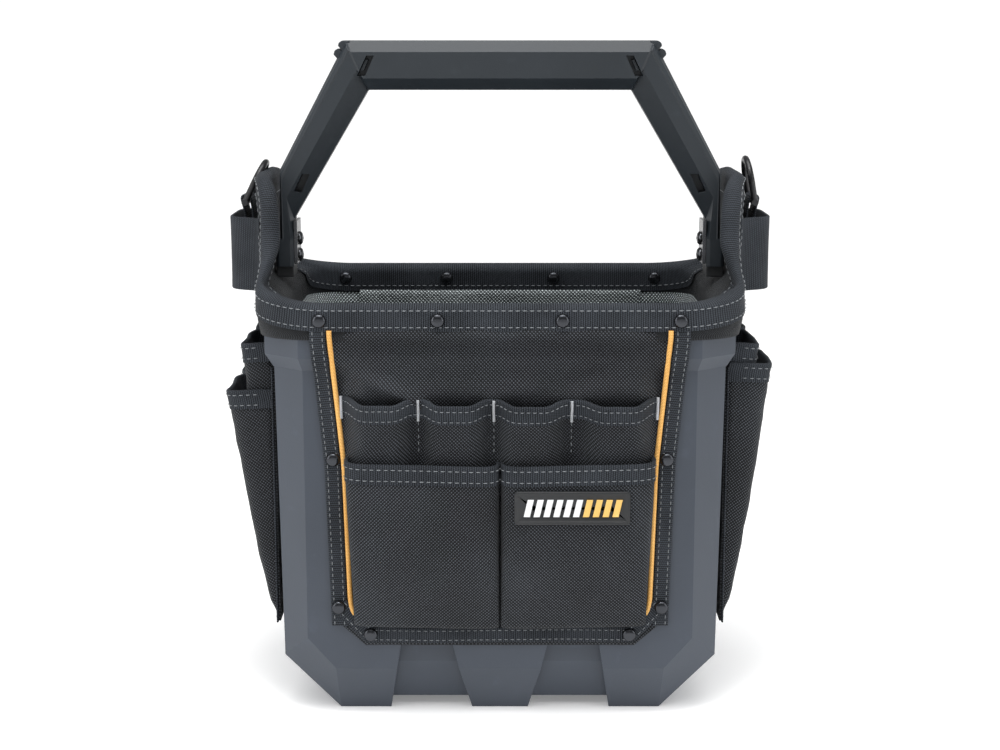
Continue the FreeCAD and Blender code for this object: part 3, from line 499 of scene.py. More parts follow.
def makeHandle():
    # stations along the bow, each an outer and an inner point and a section between them
    h = handle
    half = [((0, h["top"]), (0, h["barLow"]), "bar"),
            ((h["cornerOut"] - 0.7, h["top"]), (h["cornerIn"] - 0.7, h["barLow"]), "bar"),
            ((h["cornerOut"] + 0.6, h["top"] - 1.5), (h["cornerIn"] + 0.4, h["barLow"] - 0.8), "leg"),
            (h["elbowOut"], h["elbowIn"], "leg"),
            ((h["waistOut"], h["step"] + 1), (h["footIn"], h["step"] + 1), "block"),
            ((h["footOut"], h["step"] - 1), (h["footIn"], h["step"] - 1), "block"),
            ((h["footOut"], h["foot"]), (h["footIn"], h["foot"]), "block")]
    left = [((-o[0], o[1]), (-i[0], i[1]), kind) for o, i, kind in half[:0:-1]]
    stations = left + half
    outer, inner = (np.array([s[k] for s in stations], float) for k in (0, 1))
    sections = np.array([h[s[2]] for s in stations], float)
    share, depth = sections[..., 0], sections[..., 1]
    plan = outer[:, None] + (inner - outer)[:, None] * share[..., None]
    across, up = plan[..., 0], plan[..., 1]
    seam = np.full((len(stations), 1), h["seam"])
    across = np.concatenate([across[:, :1], across, across[:, -1:]], 1)
    up = np.concatenate([up[:, :1], up, up[:, -1:]], 1)
    depth = np.concatenate([seam, depth, seam], 1)
    middle = (outer + inner) / 2
    for face in ("front", "back"):
        points = onFace(face, across, depth, up)
        core = onFace(face, middle[:, 0], 8.0, middle[:, 1])
        core = np.concatenate([core[:1], core, core[-1:]])[:, None]
        shut = 0 * points[:1]
        points = np.concatenate([shut + core[0], points, shut + core[-1]])
        points = np.concatenate([points, points[:, :1]], 1)

        def away(centre):
            out = centre - (core[1:] + core[:-1]) / 2
            out[[0, -1]] = [0, 0, -1.0]
            return out
        piece = gridPiece("handle" + face.title(), points, "handle", "handle_plastic", away, joined=True)
        cutSlots(piece, face)
        softEdges(piece, 0.9, limit_method="ANGLE", angle_limit=math.radians(14))
        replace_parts(piece, f"handle_{face}_shell")


def prism(name, outline, sign, low, high, face, soft, finishKey="handle", slotName="handle_plastic"):
    # an outline of (along, up) corners, mirrored by sign and carried outwards from low to high
    outline = np.array(outline, float) * [sign, 1]
    n = len(outline)
    rings = [onFace(face, outline[:, 0], out, outline[:, 1]) for out in (low, high)]
    faces = [list(range(n))[::-1], list(range(n, 2 * n))]
    faces += [[k, (k + 1) % n, n + (k + 1) % n, n + k] for k in range(n)]
    piece = meshPiece(name, np.concatenate(rings), faces, finishKey, slotName)
    work = bmesh.new()
    work.from_mesh(piece.data)
    bmesh.ops.recalc_face_normals(work, faces=work.faces)
    work.to_mesh(piece.data)
    work.free()
    if soft:
        softEdges(piece, soft, keepSharp=False)
    return piece


handleSlot = {"top": [(97.5, 500.5), (103.5, 500.5), (111.0, 485.0), (104.5, 485.0)],
              "leg": [(149.5, 409.0), (155.5, 409.0), (162.0, 395.5), (156.5, 394.0)],
              "depth": (("top", 9.0), ("leg", 2.0)), "past": 30.0}


def cutSlots(piece, face):
    # recesses sunk into the front face near the corners and low on the inner bevels
    for sign in (-1, 1):
        for name, depth in handleSlot["depth"]:
            cutter = prism("cutter", handleSlot[name], sign, depth, handleSlot["past"], face, 0)
            cut = piece.modifiers.new("slot", "BOOLEAN")
            cut.operation, cut.solver, cut.object = "DIFFERENCE", "EXACT", cutter
            seen = piece.evaluated_get(bpy.context.evaluated_depsgraph_get())
            mesh = bpy.data.meshes.new_from_object(seen)
            piece.modifiers.clear()
            piece.data = mesh
            bpy.data.objects.remove(cutter)


handleDetail = {
    "lips": ([(116.5, 512), (122.6, 512), (125.2, 510.4), (126, 507.9), (122.9, 504.6), (119, 505)],
             [(121, 503.2), (125.8, 506), (128.6, 504.4), (129.6, 501.3), (126.4, 497.6), (122.6, 498.2)]),
    "hook": [(102.0, 497.5), (104.6, 497.5), (108.6, 489.0), (105.6, 489.0)],
    "pad": [(163.6, 327.5), (177.0, 327.5), (177.0, 336.4), (163.6, 336.4)]}


def makeHandleDetails():
    # flared lips where the bar and the leg are joined, a hook inside each slot, and foot pads
    for sign, word in ((-1, "Left"), (1, "Right")):
        for face in ("front", "back"):
            turn, name = sign if face == "front" else -sign, "handle" + face.title()
            for n, lip in enumerate(handleDetail["lips"]):
                prism(f"{name}Lip{word}{n}", lip, turn, 0.2, 11.0 - n, face, 0.8)
            prism(f"{name}Hook{word}", handleDetail["hook"], turn, 8.5, 14.5, face, 0.4)
        prism("handlePad" + word, handleDetail["pad"], sign, -13.5, 13.5, "front", 0.8,
              "board", "black_steel")


makeTub()
makeHandle()
makeHandleDetails()
print("moulded pieces made")


# collar: one padded sheet round the rim, with a flap up each side
collar = {"halfX": 177.0, "halfY": 122.0, "cornerX": 24.0, "cornerY": 20.0, "turn": 17.0,
          "hem": 295.4, "innerHem": 298.0, "rim": 321.0, "cap": 5.5,
          "cloth": 2.7, "spread": 9.0, "inside": -12.4, "flapInside": 2.8,
          "leanOut": 7.5, "leanIn": 11.5,
          "flap": [(0, 410.5), (49, 410.5), (61, 386), (64, 360), (90, 330), (134, 321)],
          "tape": 19.0, "tapeInside": 22.0}


def rimPlan():
    # the rim seen from above, anticlockwise from the middle of the front
    x, y, cx, cy = (collar[k] for k in ("halfX", "halfY", "cornerX", "cornerY"))
    quarter = [(x - cx, -y), (x, -y + cy)]
    corners = quarter + [(x, y - cy), (x - cx, y), (-x + cx, y), (-x, y - cy), (-x, -y + cy), (-x + cx, -y)]
    return resample(roundedLine([(0, -y), *corners, (0, -y)], collar["turn"]), 1.5)


rimPath = rimPlan()
rimRun = arcLength(rimPath)
rimLong = rimRun[-1]
rimForward = unit(np.roll(rimPath, -1, 0) - np.roll(rimPath, 1, 0))
rimForward[[0, -1]] = [1, 0]


def rimAt(run):
    run = np.mod(run, rimLong)
    place_ = np.stack([np.interp(run, rimRun, rimPath[:, k]) for k in (0, 1)], -1)
    forward = unit(np.stack([np.interp(run, rimRun, rimForward[:, k]) for k in (0, 1)], -1))
    return place_, forward, np.stack([forward[..., 1], -forward[..., 0]], -1)


def collarSheet(run, up, inner=False, lift=0.0):
    # a place round the rim and a height to a point on the outer or the inner cloth
    place_, _, out = rimAt(run)
    sideways = smooth(0.25, 0.98, np.abs(out[..., 0]))
    wing = smooth(26, 66, np.abs(place_[..., 1])) * sideways
    if inner:
        step = collar["flapInside"] - collar["inside"]
        offset = collar["inside"] + step * smooth(317, 330, up) * sideways - lift
        offset = offset - collar["leanIn"] * wing * smooth(322, 366, up)
    else:
        offset = collar["cloth"] + collar["spread"] * smooth(284, 336, up) * sideways + lift
        offset = offset - collar["leanOut"] * wing * smooth(300, 345, up)
        slack = smooth(296, 306, up) * (0.9 * wobble(run, up, 3, 70) + 0.35 * wobble(run, up, 4, 24))
        offset = offset + slack * sideways
    point = place_ + out * offset[..., None]
    return np.concatenate([point, np.broadcast_to(up, offset.shape)[..., None]], -1) * mm


def flapEdge():
    # the collar's whole top edge, unrolled: place round the rim against height
    quarter = rimLong / 4
    curve = roundedLine(collar["flap"] + [(quarter, collar["rim"])], 24, 12)
    a, z = curve[:, 0], curve[:, 1]
    runs, ups = [], []
    for middle in (quarter, 3 * quarter):
        runs += [middle - a[::-1], middle + a[1:]]
        ups += [z[::-1], z[1:]]
    edge = resample(np.stack([np.concatenate(runs), np.concatenate(ups)], 1), 3.2)
    forward = np.gradient(edge, axis=0)
    across, rise = (np.convolve(np.pad(forward[:, k], 4, "wrap"), np.ones(9) / 9, "valid") for k in (0, 1))
    return edge, unit(np.stack([-rise, across], 1))


edgeLine, edgeOut = flapEdge()


def hemRuns():
    # where each column of the sheet meets the hem: spread evenly, quarter by quarter
    step = np.abs(np.diff(edgeLine[:, 0])) + 0.4 * np.abs(np.diff(edgeLine[:, 1]))
    total = np.concatenate([[0], np.cumsum(step)])
    marks = rimLong * np.array([0, 0.25, 0.5, 0.75, 1.0])
    at = [np.argmin(np.abs(edgeLine[:, 0] - m)) for m in marks]
    return np.interp(total, total[at], marks)


def edgeCap(lift, steps=9):
    # half an oval between the outer and the inner cloth, at the top edge
    core = edgeLine - edgeOut * collar["cap"]
    outer, inner = collarSheet(core[:, 0], core[:, 1]), collarSheet(core[:, 0], core[:, 1], True)
    _, forward, _ = rimAt(core[:, 0])
    rise = unit(np.concatenate([forward * edgeOut[:, :1], edgeOut[:, 1:]], 1))
    half = (outer - inner) / 2
    half = half * (1 + lift * mm / np.linalg.norm(half, axis=1, keepdims=True))
    angle = np.linspace(0, math.pi, steps)[:, None, None]
    return (outer + inner) / 2 + half * np.cos(angle) + rise * np.sin(angle) * (collar["cap"] + lift) * mm


def makeCollar():
    hems = hemRuns()
    core = edgeLine - edgeOut * collar["cap"]
    down = np.linspace(1, 0, 14)[:-1, None]
    run = down * hems + (1 - down) * core[:, 0]
    outUp, inUp = (down * collar[key] + (1 - down) * core[:, 1] for key in ("hem", "innerHem"))
    tucked = collarSheet(hems, collar["hem"] + 0.8 + 0 * hems, lift=-1.4)[None]
    points = np.concatenate([tucked, collarSheet(run, outUp), edgeCap(0.0),
                             collarSheet(run, inUp, True)[::-1]])
    # outside rows face away from the middle of the bucket, inside rows face it
    turned = np.where(np.arange(len(points) - 1) < 22, 1, -1)[:, None, None]
    piece = gridPiece("collarSheet", points, "collarCloth", "collar_fabric",
                      lambda centre: unit(centre * [1, 1, 0]) * turned, joined=True)
    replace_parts(piece, "collar")


def tapeLine(drop, lift=1.9, inner=False):
    # a line along the edge tape, drop below the top edge
    line = edgeLine - edgeOut * drop
    here = collarSheet(line[:, 0], line[:, 1], inner, lift)
    out = collarSheet(line[:, 0], line[:, 1], inner, lift + 1) - here
    return here, unit(out)


def makeEdgeTape():
    deep, inside = collar["tape"], collar["tapeInside"]
    outer = [tapeLine(d, 1.2 - 0.3 * math.sin(math.pi * d / deep))[0] for d in (deep, 17.8, 14, 10, 7)]
    inner = [tapeLine(d, 1.2, True)[0] for d in (7, 11, 15, 19, inside)]
    points = np.concatenate([outer, edgeCap(1.2), inner])
    fan = np.concatenate([[tapeLine(10)[1]] * 5, unit(edgeCap(2.2) - edgeCap(0.2)),
                          [tapeLine(10, inner=True)[1]] * 5])
    run = arcLength(edgeLine) * mm
    drop = np.concatenate([[0], np.cumsum(np.linalg.norm(np.diff(points, axis=0), axis=-1).mean(1))])
    uv = np.stack(np.broadcast_arrays(run[None], drop[:, None]), -1)
    piece = gridPiece("edgeTape", points, "webbing", "webbing", fan[1:, 1:] + fan[:-1, :-1], uv, joined=True)
    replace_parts(piece, "front_rim_band", "back_rim_band")


makeCollar()
makeEdgeTape()
stitches("collarStitches", [tapeLine(3.4, 1.7), tapeLine(15.8, 1.7), tapeLine(17.5, 1.7, True)], radius=0.36)
print("collar made")


panel = {"low": 58.0, "high": 303.5, "corner": 80.0, "narrow": 200.0, "wide": 294.4,
         "swell": 15.0, "halfFoot": 103.5, "halfCorner": 128.5, "half": 132.0, "halfTop": 141.0}
trimWide = 13.0


def panelHalf(up):
    return np.interp(up, [panel["low"], panel["corner"], panel["narrow"], panel["wide"]],
                     [panel["halfFoot"], panel["halfCorner"], panel["half"], panel["halfTop"]])


def panelBase(up):
    # the cover lies on the tub and steps out over the lip below the rim
    return 117.9 + 6 * smooth(264, 281, up)


def panelSwell(across, up):
    # the cover hangs away from the tub between the tape and the large pockets
    swell = panel["swell"] * smooth(288, 255, up) * (1 - 0.6 * smooth(258, 226, up)) * smooth(95, 170, up)
    return swell * (1 - smooth(98, 122, np.abs(across)))


def panelSlack(across, up):
    # loose cloth: a roll under the tape, a hollow, then a swell that runs down behind the slots
    roll = 4.2 * bump(298, 5, up)
    fold = 6.0 * bump(0, 5.5, (across + 86) * 0.45 + (up - 262)) * bump(-84, 30, across)
    fold = fold - 2.2 * bump(0, 6, (across - 62) * -0.35 + (up - 268)) * bump(58, 34, across)
    fine = 0.9 * wobble(across, up * 1.6, 11, 60)
    return (roll + fold + fine) * (1 - smooth(98, 122, np.abs(across))) + panelSwell(across, up)


def panelOut(across, up):
    return panelBase(up) + panelSlack(across, up)


def makePanel(face):
    # straight sides that widen upwards; the way out is the tub, the lip and the slack added up
    share, up = np.meshgrid(np.linspace(-1, 1, 121), np.linspace(panel["low"], panel["high"], 110))
    across = share * (panelHalf(up) - 1.0)
    points = onFace(face, across, panelOut(across, up), up)
    uv = np.stack([across, up], -1) * mm
    piece = gridPiece(face + "Panel", points, "cloth", "pocket_fabric", facing(face), uv, 1.4)
    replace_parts(piece, face + "_panel")


def facePath(face, across, out, up):
    # a line on a face, and the way out at each of its points
    path = onFace(face, across, out, up)
    return path, np.broadcast_to(unit(facing(face)), path.shape)


def makeTrim(face):
    # two long straps, two short ones across the corners and one along the foot
    half = trimWide / 2
    runs, rows = [], []
    for sign, side in ((-1, "L"), (1, "R")):
        up = np.linspace(303, 74, 80)
        runs.append(("Side" + side, sign * (panelHalf(np.maximum(up, 81)) - half), panelBase(up) + 1.1, up))
        ends = [(panel["halfCorner"] - 7.0, 91.0), (panel["halfFoot"] - 5.0, 66.0)]
        corner = resample(np.array(ends), 2)
        runs.append(("Corner" + side, sign * corner[:, 0], 120.3, corner[:, 1]))
    foot = np.linspace(-102, 102, 70)
    runs.append(("Foot", foot, 119.9 + 0.25 * np.sin(foot / 11),
                 panel["low"] + half + 2.5 + 0.5 * np.sin(foot / 31)))
    for label, across, out, up in runs:
        path, normal = facePath(face, across, out, up)
        piece = strap(face + "Trim" + label, path, normal, trimWide - 1, 1.7)
        if label == "SideL":
            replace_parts(piece, face + "_panel_trim")
        sideways = along(path, normal)[1]
        rows += [(path + sideways * row * 3.7 * mm + normal * 0.95 * mm, normal) for row in (-1, 1)]
    stitches(face + "TrimStitches", rows, 2.9, 4.7, 0.32)


def sideWord(face, sign):
    # left and right are as seen from the front, so they swap on the back
    return "left" if (sign < 0) == (face == "front") else "right"


def makePiping(face):
    # an oval cord that follows the trim's inner edge and turns in at the foot
    for sign in (-1, 1):
        word = sideWord(face, sign)
        up = np.array([303, 297, 270, 240, 200, 150, 110, 94, 88, 83.5])
        across = panelHalf(np.maximum(up, 81)) - trimWide - 2.2
        across[-2:] -= [0.5, 3.0]
        line = resample(roundedLine(np.stack([across, panelBase(up) + 1.9, up], 1), 12), 2.5)
        path, normal = facePath(face, sign * line[:, 0], line[:, 1], line[:, 2])
        profile = ovalProfile(3.8, 4.0, 14)
        piece = carried(f"{face}Piping{word.title()}", path, normal, profile, "piping", "piping")
        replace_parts(piece, f"{face}_piping_{word}")


def gathered(count, share=0.5):
    # steps from 0 to 1 that lie closer together towards both ends
    return share * (1 - np.cos(np.linspace(0, math.pi, count))) / 2 + (1 - share) * np.linspace(0, 1, count)


def clothSheet(name, face, surface, t, drop, thick=1.4):
    points = surface(t[None], drop[:, None])
    return gridPiece(name, points, "cloth", "pocket_fabric", facing(face), thick=thick)


def boxyOval(t, power):
    # from one seam round to the other: shares across and outwards, before rounding off the latter
    angle = math.pi * (1 - t)
    c = np.cos(angle)
    return np.sign(c) * np.abs(c) ** (2 / power), np.clip(np.sin(angle), 0, 1)


toolSlots = {"low": 180.0, "high": 252.5, "seams": (-119.0, -60.5, -4.5, 53.0, 118.0),
             "swell": 12.5, "dip": 3.4, "tape": 14.0}


def slotPlace(across):
    # which slot a place belongs to, and its share of the way across it
    seams = np.array(toolSlots["seams"])
    index = np.clip(np.searchsorted(seams, across, "right") - 1, 0, 3)
    return index, (across - seams[index]) / (seams[index + 1] - seams[index])


def slotSheet(face):
    # one sheet over four pouches: out = cover + swell x sine of the share across, fuller near the mouth
    start, end = toolSlots["seams"][0], toolSlots["seams"][-1]

    def surface(t, drop):
        across = start + t * (end - start)
        index, share = slotPlace(across)
        lean = share ** np.array([1.0, 0.92, 0.9, 1.1])[index]  # each pouch leans its own way
        full = np.sin(math.pi * np.clip(lean, 0, 1))
        swell = toolSlots["swell"] * np.array([0.95, 1.0, 1.05, 0.9])[index]
        up = toolSlots["high"] - toolSlots["dip"] * smooth(0.3, 0.9, full) - 1.2 * index * 0.3 - drop
        depth = 1.2 + swell * smooth(0.12, 0.86, full) * (0.58 + 0.42 * smooth(190, 244, up))
        hold = panelBase(up) + panelSwell(across, up)
        pucker = 0.5 * wobble(across, up, 21, 22)
        return onFace(face, across, hold + depth + pucker, up)
    return surface


def makeToolSlots(face):
    surface, outward = slotSheet(face), facing(face)
    t = np.linspace(0, 1, 201)
    drop = np.linspace(toolSlots["high"] - toolSlots["low"], 0, 36)
    piece = clothSheet(face + "ToolSlots", face, surface, t, drop)
    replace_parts(piece, face + "_tool_slots")
    tape = edgeBinding(face + "ToolTape", surface, t, toolSlots["tape"], outward)
    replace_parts(tape, face + "_tool_binding")
    rows = [seamLine(surface, t, d, outward, 1.3) for d in (2.8, 11.2)]
    first, last = toolSlots["seams"][0], toolSlots["seams"][-1]
    seams = [(seam - first) / (last - first) for seam in toolSlots["seams"]]
    down = np.linspace(16, 42, 14)
    rows += [seamLine(surface, seam + 0 * down, down, outward, 0.5) for seam in seams[1:-1]]
    stitches(face + "SlotStitches", rows, 2.8, 4.5, 0.32)
    tacks, side = [], unit(onFace(face, 1.0, 0.0, 0.0)) * 1.25 * mm
    for seam in seams:
        for d in np.arange(-0.4, 16.5, 0.75):
            at = np.array([min(max(seam, 0.006), 0.994)])
            here, normal, _ = sewnFrame(surface, at, np.array([d]), outward)
            middle = here[0] + normal[0] * 1.5 * mm
            tacks.append((np.stack([middle - side, middle + side]), np.stack([normal[0]] * 2)))
    stitches(face + "SlotTacks", tacks, 2.3, 2.5, 0.46, "bartack")


bigPocket = {"low": 77.0, "high": 206.0, "inner": 0.6, "outer": 115.5, "outerFoot": 111.0,
             "base": 119.6, "deep": 20.8, "tape": 14.5}


def pocketSheet(face, sign):
    # a boxy oval seen from above, which closes towards the foot
    b = bigPocket

    def surface(t, drop):
        share, s = boxyOval(t, 9)
        far = b["outerFoot"] + (b["outer"] - b["outerFoot"]) * smooth(80, 206, 206 - drop)
        half = (far - b["inner"]) / 2
        across = sign * (b["inner"] + half + share * half)
        up = b["high"] - 2.6 * (1 - np.abs(across) / b["outer"]) - 1.2 * s - drop
        full = 0.25 + 0.75 * smooth(b["low"] - 14, b["low"] + 62, up) ** 0.8
        inward = 1.5 * bump(0, 0.35, share) * smooth(150, 205, up)
        fine = 0.5 * wobble(across, up, 31 + sign, 55)
        return onFace(face, across, b["base"] + b["deep"] * full * s ** (2 / 4.5) + (fine - inward) * s, up)
    return surface


def makeBigPocket(face, sign):
    word, surface, t = sideWord(face, sign), pocketSheet(face, sign), gathered(91)
    drop = np.concatenate([np.linspace(bigPocket["high"] - bigPocket["low"], 20, 26), np.linspace(17, 0, 6)])
    piece = clothSheet(f"{face}Pocket{word.title()}", face, surface, t, drop, 1.5)
    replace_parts(piece, f"{face}_pocket_{word}")
    tape = edgeBinding(f"{face}PocketTape{word.title()}", surface, t, bigPocket["tape"], facing(face))
    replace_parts(tape, f"{face}_pocket_binding_{word}")
    return [seamLine(surface, np.linspace(0.05, 0.95, 80), d, facing(face), 1.3) for d in (3.0, 11.4)]


for face in ("front", "back"):
    makePanel(face)
    makeTrim(face)
    makePiping(face)
    makeToolSlots(face)
    rows = makeBigPocket(face, -1) + makeBigPocket(face, 1)
    stitches(face + "PocketStitches", rows, 3.2, 5.2, 0.34)
print("front and back made")


sidePocket = {"upper": {"low": 150.0, "foot": 183.0, "out": 199.0, "near": 3.5, "far": 77.0},
              "outer": {"low": 69.0, "foot": 176.5, "near": 1.5, "far": 79.5}}
sideHigh = {"left": {"upper": 285.0, "outer": 249.0, "out": 211.0},
            "right": {"upper": 285.0, "outer": 270.0, "out": 210.0}}


def wedgeSheet(face, sign, kind):
    # a boxy oval seen from above; its reach grows from the foot as the height to the power 0.74
    size, back = sidePocket[kind], 173.4
    high = sideHigh[face][kind]
    out = size.get("out") or sideHigh[face]["out"]

    def surface(t, drop):
        share, s = boxyOval(t, 8)
        half = (size["far"] - size["near"]) / 2
        across = sign * (size["near"] + half + share * half)
        up = high - 2.2 * s - drop
        grown = np.clip((up - size["low"]) / (high - size["low"]), 0, 1)
        reach = size["foot"] + (out - size["foot"]) * grown ** 0.74 - back
        closing = smooth(size["low"] - 6, size["low"] + 12, up)
        crease = 1.1 * wobble(across + 3 * len(face), up, 41 + len(kind), 46)
        crease = crease + 0.5 * wobble(across, up, 43, 20)
        depth = (reach * closing) * s ** (2 / 4.0) + crease * s * smooth(60, 110, up)
        lip = 6 * smooth(262, 281, up) * (1 - s ** 0.5)
        return onFace(face, across, back + depth + lip, up)
    return surface


def makeSide(face):
    across, up = np.meshgrid(np.linspace(-83.5, 83.5, 40), np.linspace(66, 268, 50))
    points = onFace(face, across, 172.9 + 0.4 * wobble(across, up, 51, 60), up)
    piece = gridPiece(face + "SidePanel", points, "cloth", "pocket_fabric", facing(face), thick=1.4)
    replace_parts(piece, face + "_side_panel")
    rows = []
    for n, ends in enumerate((((-80, 268), (-80, 66)), ((80, 268), (80, 66)), ((-84, 69), (84, 69)))):
        line = resample(np.array(ends, float), 4)
        path, normal = facePath(face, line[:, 0], 173.9, line[:, 1])
        trim = strap(f"{face}SideTrim{n}", path, normal, 9.0, 1.6)
        if not n:
            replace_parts(trim, face + "_side_trim")
        rows.append((path + normal * 0.9 * mm, normal))
    for kind in ("upper", "outer"):
        for sign in (-1, 1):
            # the front is at -Y: along the right side that is the negative end
            word = "front" if (sign < 0) == (face == "right") else "rear"
            surface, t = wedgeSheet(face, sign, kind), gathered(61)
            deep = sideHigh[face][kind] - sidePocket[kind]["low"]
            drop = np.concatenate([np.linspace(deep, 22, 26), np.linspace(18, 0, 6)])
            name = f"{face}{kind.title()}Pocket{word.title()}"
            piece = clothSheet(name, face, surface, t, drop)
            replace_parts(piece, f"{face}_{kind}_pocket_{word}")
            edgeBinding(name + "Tape", surface, t, 14, facing(face))
            inner = np.linspace(0.03, 0.97, 70)
            rows += [seamLine(surface, inner, d, facing(face), 1.3) for d in (3.0, 11.0)]
    stitches(face + "Stitches", rows, 3.2, 5.4, 0.34)


def makeHammerLoop(face):
    # a wide strap on edge: sewn at both ends and standing out between them
    half = [(27, 210.5), (35, 204), (42, 188.5), (49, 184.6)]
    line = resample(roundedLine([(-a, out) for a, out in half[::-1]] + half, 9), 2)
    path = onFace(face, line[:, 0], line[:, 1], 349.0)
    normal = unit(np.cross(unit(np.gradient(path, axis=0)), [0, 0, 1.0]))
    normal = normal * np.sign((normal * facing(face)).sum(-1).mean())
    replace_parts(strap(face + "HammerLoop", path, normal, 57, 2.1), "hammer_loop_" + face)


def makeRingTab(face):
    # webbing folded round the straight bar of the ring and sewn to the flap
    line = [(352, 194.2), (378, 194.6), (392.2, 196.4), (392.4, 204.4), (380, 201.0), (352, 197.4)]
    fold = resample(roundedLine(line, 5), 1.2)
    path = onFace(face, 0.0, fold[:, 1], fold[:, 0])
    normal = unit(np.cross(unit(np.gradient(path, axis=0)), unit(onFace(face, 1.0, 0, 0))))
    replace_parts(strap(face + "RingTab", path, normal, 27.5, 1.7), "d_ring_tab_" + face)
    across = np.linspace(-12, 12, 8)
    rows = [facePath(face, across, 199.2 + (up - 357) * 0.13, up) for up in (357, 362)]
    stitches(face + "TabStitches", rows, 2.6, 3.4, 0.36)


for face in ("left", "right"):
    makeSide(face)
    makeHammerLoop(face)
    makeRingTab(face)
    dress("d_ring_" + face, "ring")
    dress("handle_plate_" + face, "zinc")
    dress("side_board_" + face, "board")
print("sides made")


def makeLining():
    # the rim line set in by 14 mm, tapering a little more towards the foot, with slow ripples
    run, height = np.meshgrid(np.linspace(0, rimLong, 301), np.linspace(73.5, 306, 40))
    place_, _, out = rimAt(run)
    taper = (318 - height) / 318 * 4.0
    offset = -14.0 - taper + 1.1 * wobble(run, height, 61, 90) + 3.6 * smooth(293, 301, height)
    points = np.concatenate([place_ + out * offset[..., None], height[..., None]], -1) * mm
    uv = np.stack([run, height], -1) * mm
    piece = gridPiece("lining", points, "lining", "lining_fabric",
                      lambda centre: -centre * [1, 1, 0], uv, joined=True)
    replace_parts(piece, "liner")


def makeInnerPocket():
    # a flat boxy oval on the back wall, fullest half way up and held shut along its middle
    share, s = boxyOval(gathered(81, 0.4)[None], 9)
    up = 300 - np.linspace(176, 0, 40)[:, None]
    across = share * 121
    depth = 12.5 * smooth(112, 150, up) * (1 - 0.85 * smooth(240, 292, up)) * s ** (2 / 4)
    depth = depth + (0.9 * wobble(across, up, 71, 60) - 1.5 * bump(4, 4, across)) * s
    points = onFace("back", -across, 107.6 - 0.6 * smooth(280, 298, up) - depth, up)
    piece = gridPiece("innerPocket", points, "lining", "lining_fabric", -facing("back"), thick=1.2)
    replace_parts(piece, "inner_pocket")


makeLining()
makeInnerPocket()
dress("base_board", "board")
dress("handle_bolts", "zinc")
dress("handle_nuts", "zinc")
print("inside made")


rivetHead = [(5.15, -0.9), (5.2, 0.2), (4.95, 0.9), (4.35, 1.6), (3.4, 2.15), (2.0, 2.5), (0.7, 2.6)]


def makeRivets():
    # a profile of (radius, height) pairs turned round the way out at each place, two caps at the rim
    places, ways = [], []
    for face in ("front", "back"):
        way = unit(facing(face))
        for across in (-133, -46, 46, 133):
            places += [onFace(face, across, 126.3, 310), onFace(face, across, 108.3, 310)]
            ways += [way, -way]
        for sign in (-1, 1):
            for across, up, out in [(125.0, 204, 120.0), (122.5, 89, 121.5), (98.5, 67.5, 121.5)]:
                places.append(onFace(face, sign * across, out, up))
                ways.append(way)
    place_, way = (np.array(rows)[:, None, None] for rows in (places, ways))
    profile = np.array(rivetHead)[:, None] * mm
    angle = np.linspace(0, 2 * math.pi, 28, endpoint=False)[:, None]
    a = unit(np.cross(way, [0.3, 0.2, 1.0]))
    ring = a * np.cos(angle) + np.cross(way, a) * np.sin(angle)
    points = place_ + ring * profile[..., :1] + way * profile[..., 1:]
    faces = [face[:1] + face[:0:-1] for face in tubeFaces(len(rivetHead), 28, len(places))]
    piece = meshPiece("rivets", points.reshape(-1, 3), faces, "rivet", "rivet_metal")
    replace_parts(piece, "rim_rivets", "front_panel_rivets", "back_panel_rivets")


plate = {"left": 10.5, "right": 96.5, "low": 159.5, "high": 185.0, "base": 140.6, "round": 3.0,
         "steps": [(0, -0.5), (0, 1.2), (0.4, 1.75), (1, 2), (1.9, 2), (2.5, 1.7), (3, 1), (14, 1)]}
bar = {"first": 7.0, "pitch": 7.3, "inset": 6.2, "lean": 3.0, "wide": 4.6}


def makePlate():
    # a moulded frame with a sunk field
    midX, midZ = (plate["left"] + plate["right"]) / 2, (plate["low"] + plate["high"]) / 2

    def ring(inset, out):
        x, z = (plate["right"] - plate["left"]) / 2 - inset, (plate["high"] - plate["low"]) / 2 - inset
        r = max(plate["round"] - inset, 0.8)
        angle = np.linspace(0, 2 * math.pi, 40, endpoint=False) + 0.01
        cx, cz = np.sign(np.cos(angle)) * (x - r), np.sign(np.sin(angle)) * (z - r)
        return onFace("front", midX + cx + r * np.cos(angle), plate["base"] + out,
                      midZ + cz + r * np.sin(angle))
    middle = onFace("front", midX, plate["base"] + 1.0, midZ + np.zeros(40))
    points = np.array([ring(*step) for step in plate["steps"]] + [middle])
    points = np.concatenate([points, points[:, :1]], 1)
    piece = gridPiece("namePlate", points, "rubber", "badge_rubber", np.array([0, -1.0, 0]), joined=True)
    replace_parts(piece, "badge")


def makeMark(label, first, count):
    # a generic mark on the plate: a row of slanted bars with a small bevel
    verts, faces = [], []
    for n in range(first, first + count):
        left = plate["left"] + bar["first"] + n * bar["pitch"]
        low, high = plate["low"] + bar["inset"], plate["high"] - bar["inset"]
        for inset, out in ((0, 1.0), (0, 1.45), (0.35, 1.7)):
            a, b = left + inset, left + bar["wide"] - inset
            verts += [(a, out, low + inset), (b, out, low + inset),
                      (b + bar["lean"], out, high - inset), (a + bar["lean"], out, high - inset)]
        k = (n - first) * 12
        faces.append([k + 8, k + 9, k + 10, k + 11])
        for row in (k, k + 4):
            faces += [[row + c, row + (c + 1) % 4, row + 4 + (c + 1) % 4, row + 4 + c] for c in range(4)]
    verts = np.array(verts, float)
    points = onFace("front", verts[:, 0], plate["base"] + verts[:, 1], verts[:, 2])
    mark = meshPiece("namePlateMark" + label, points, faces, "mark" + label, "badge_rubber").data
    mark.polygons.foreach_set("use_smooth", [False] * len(mark.polygons))


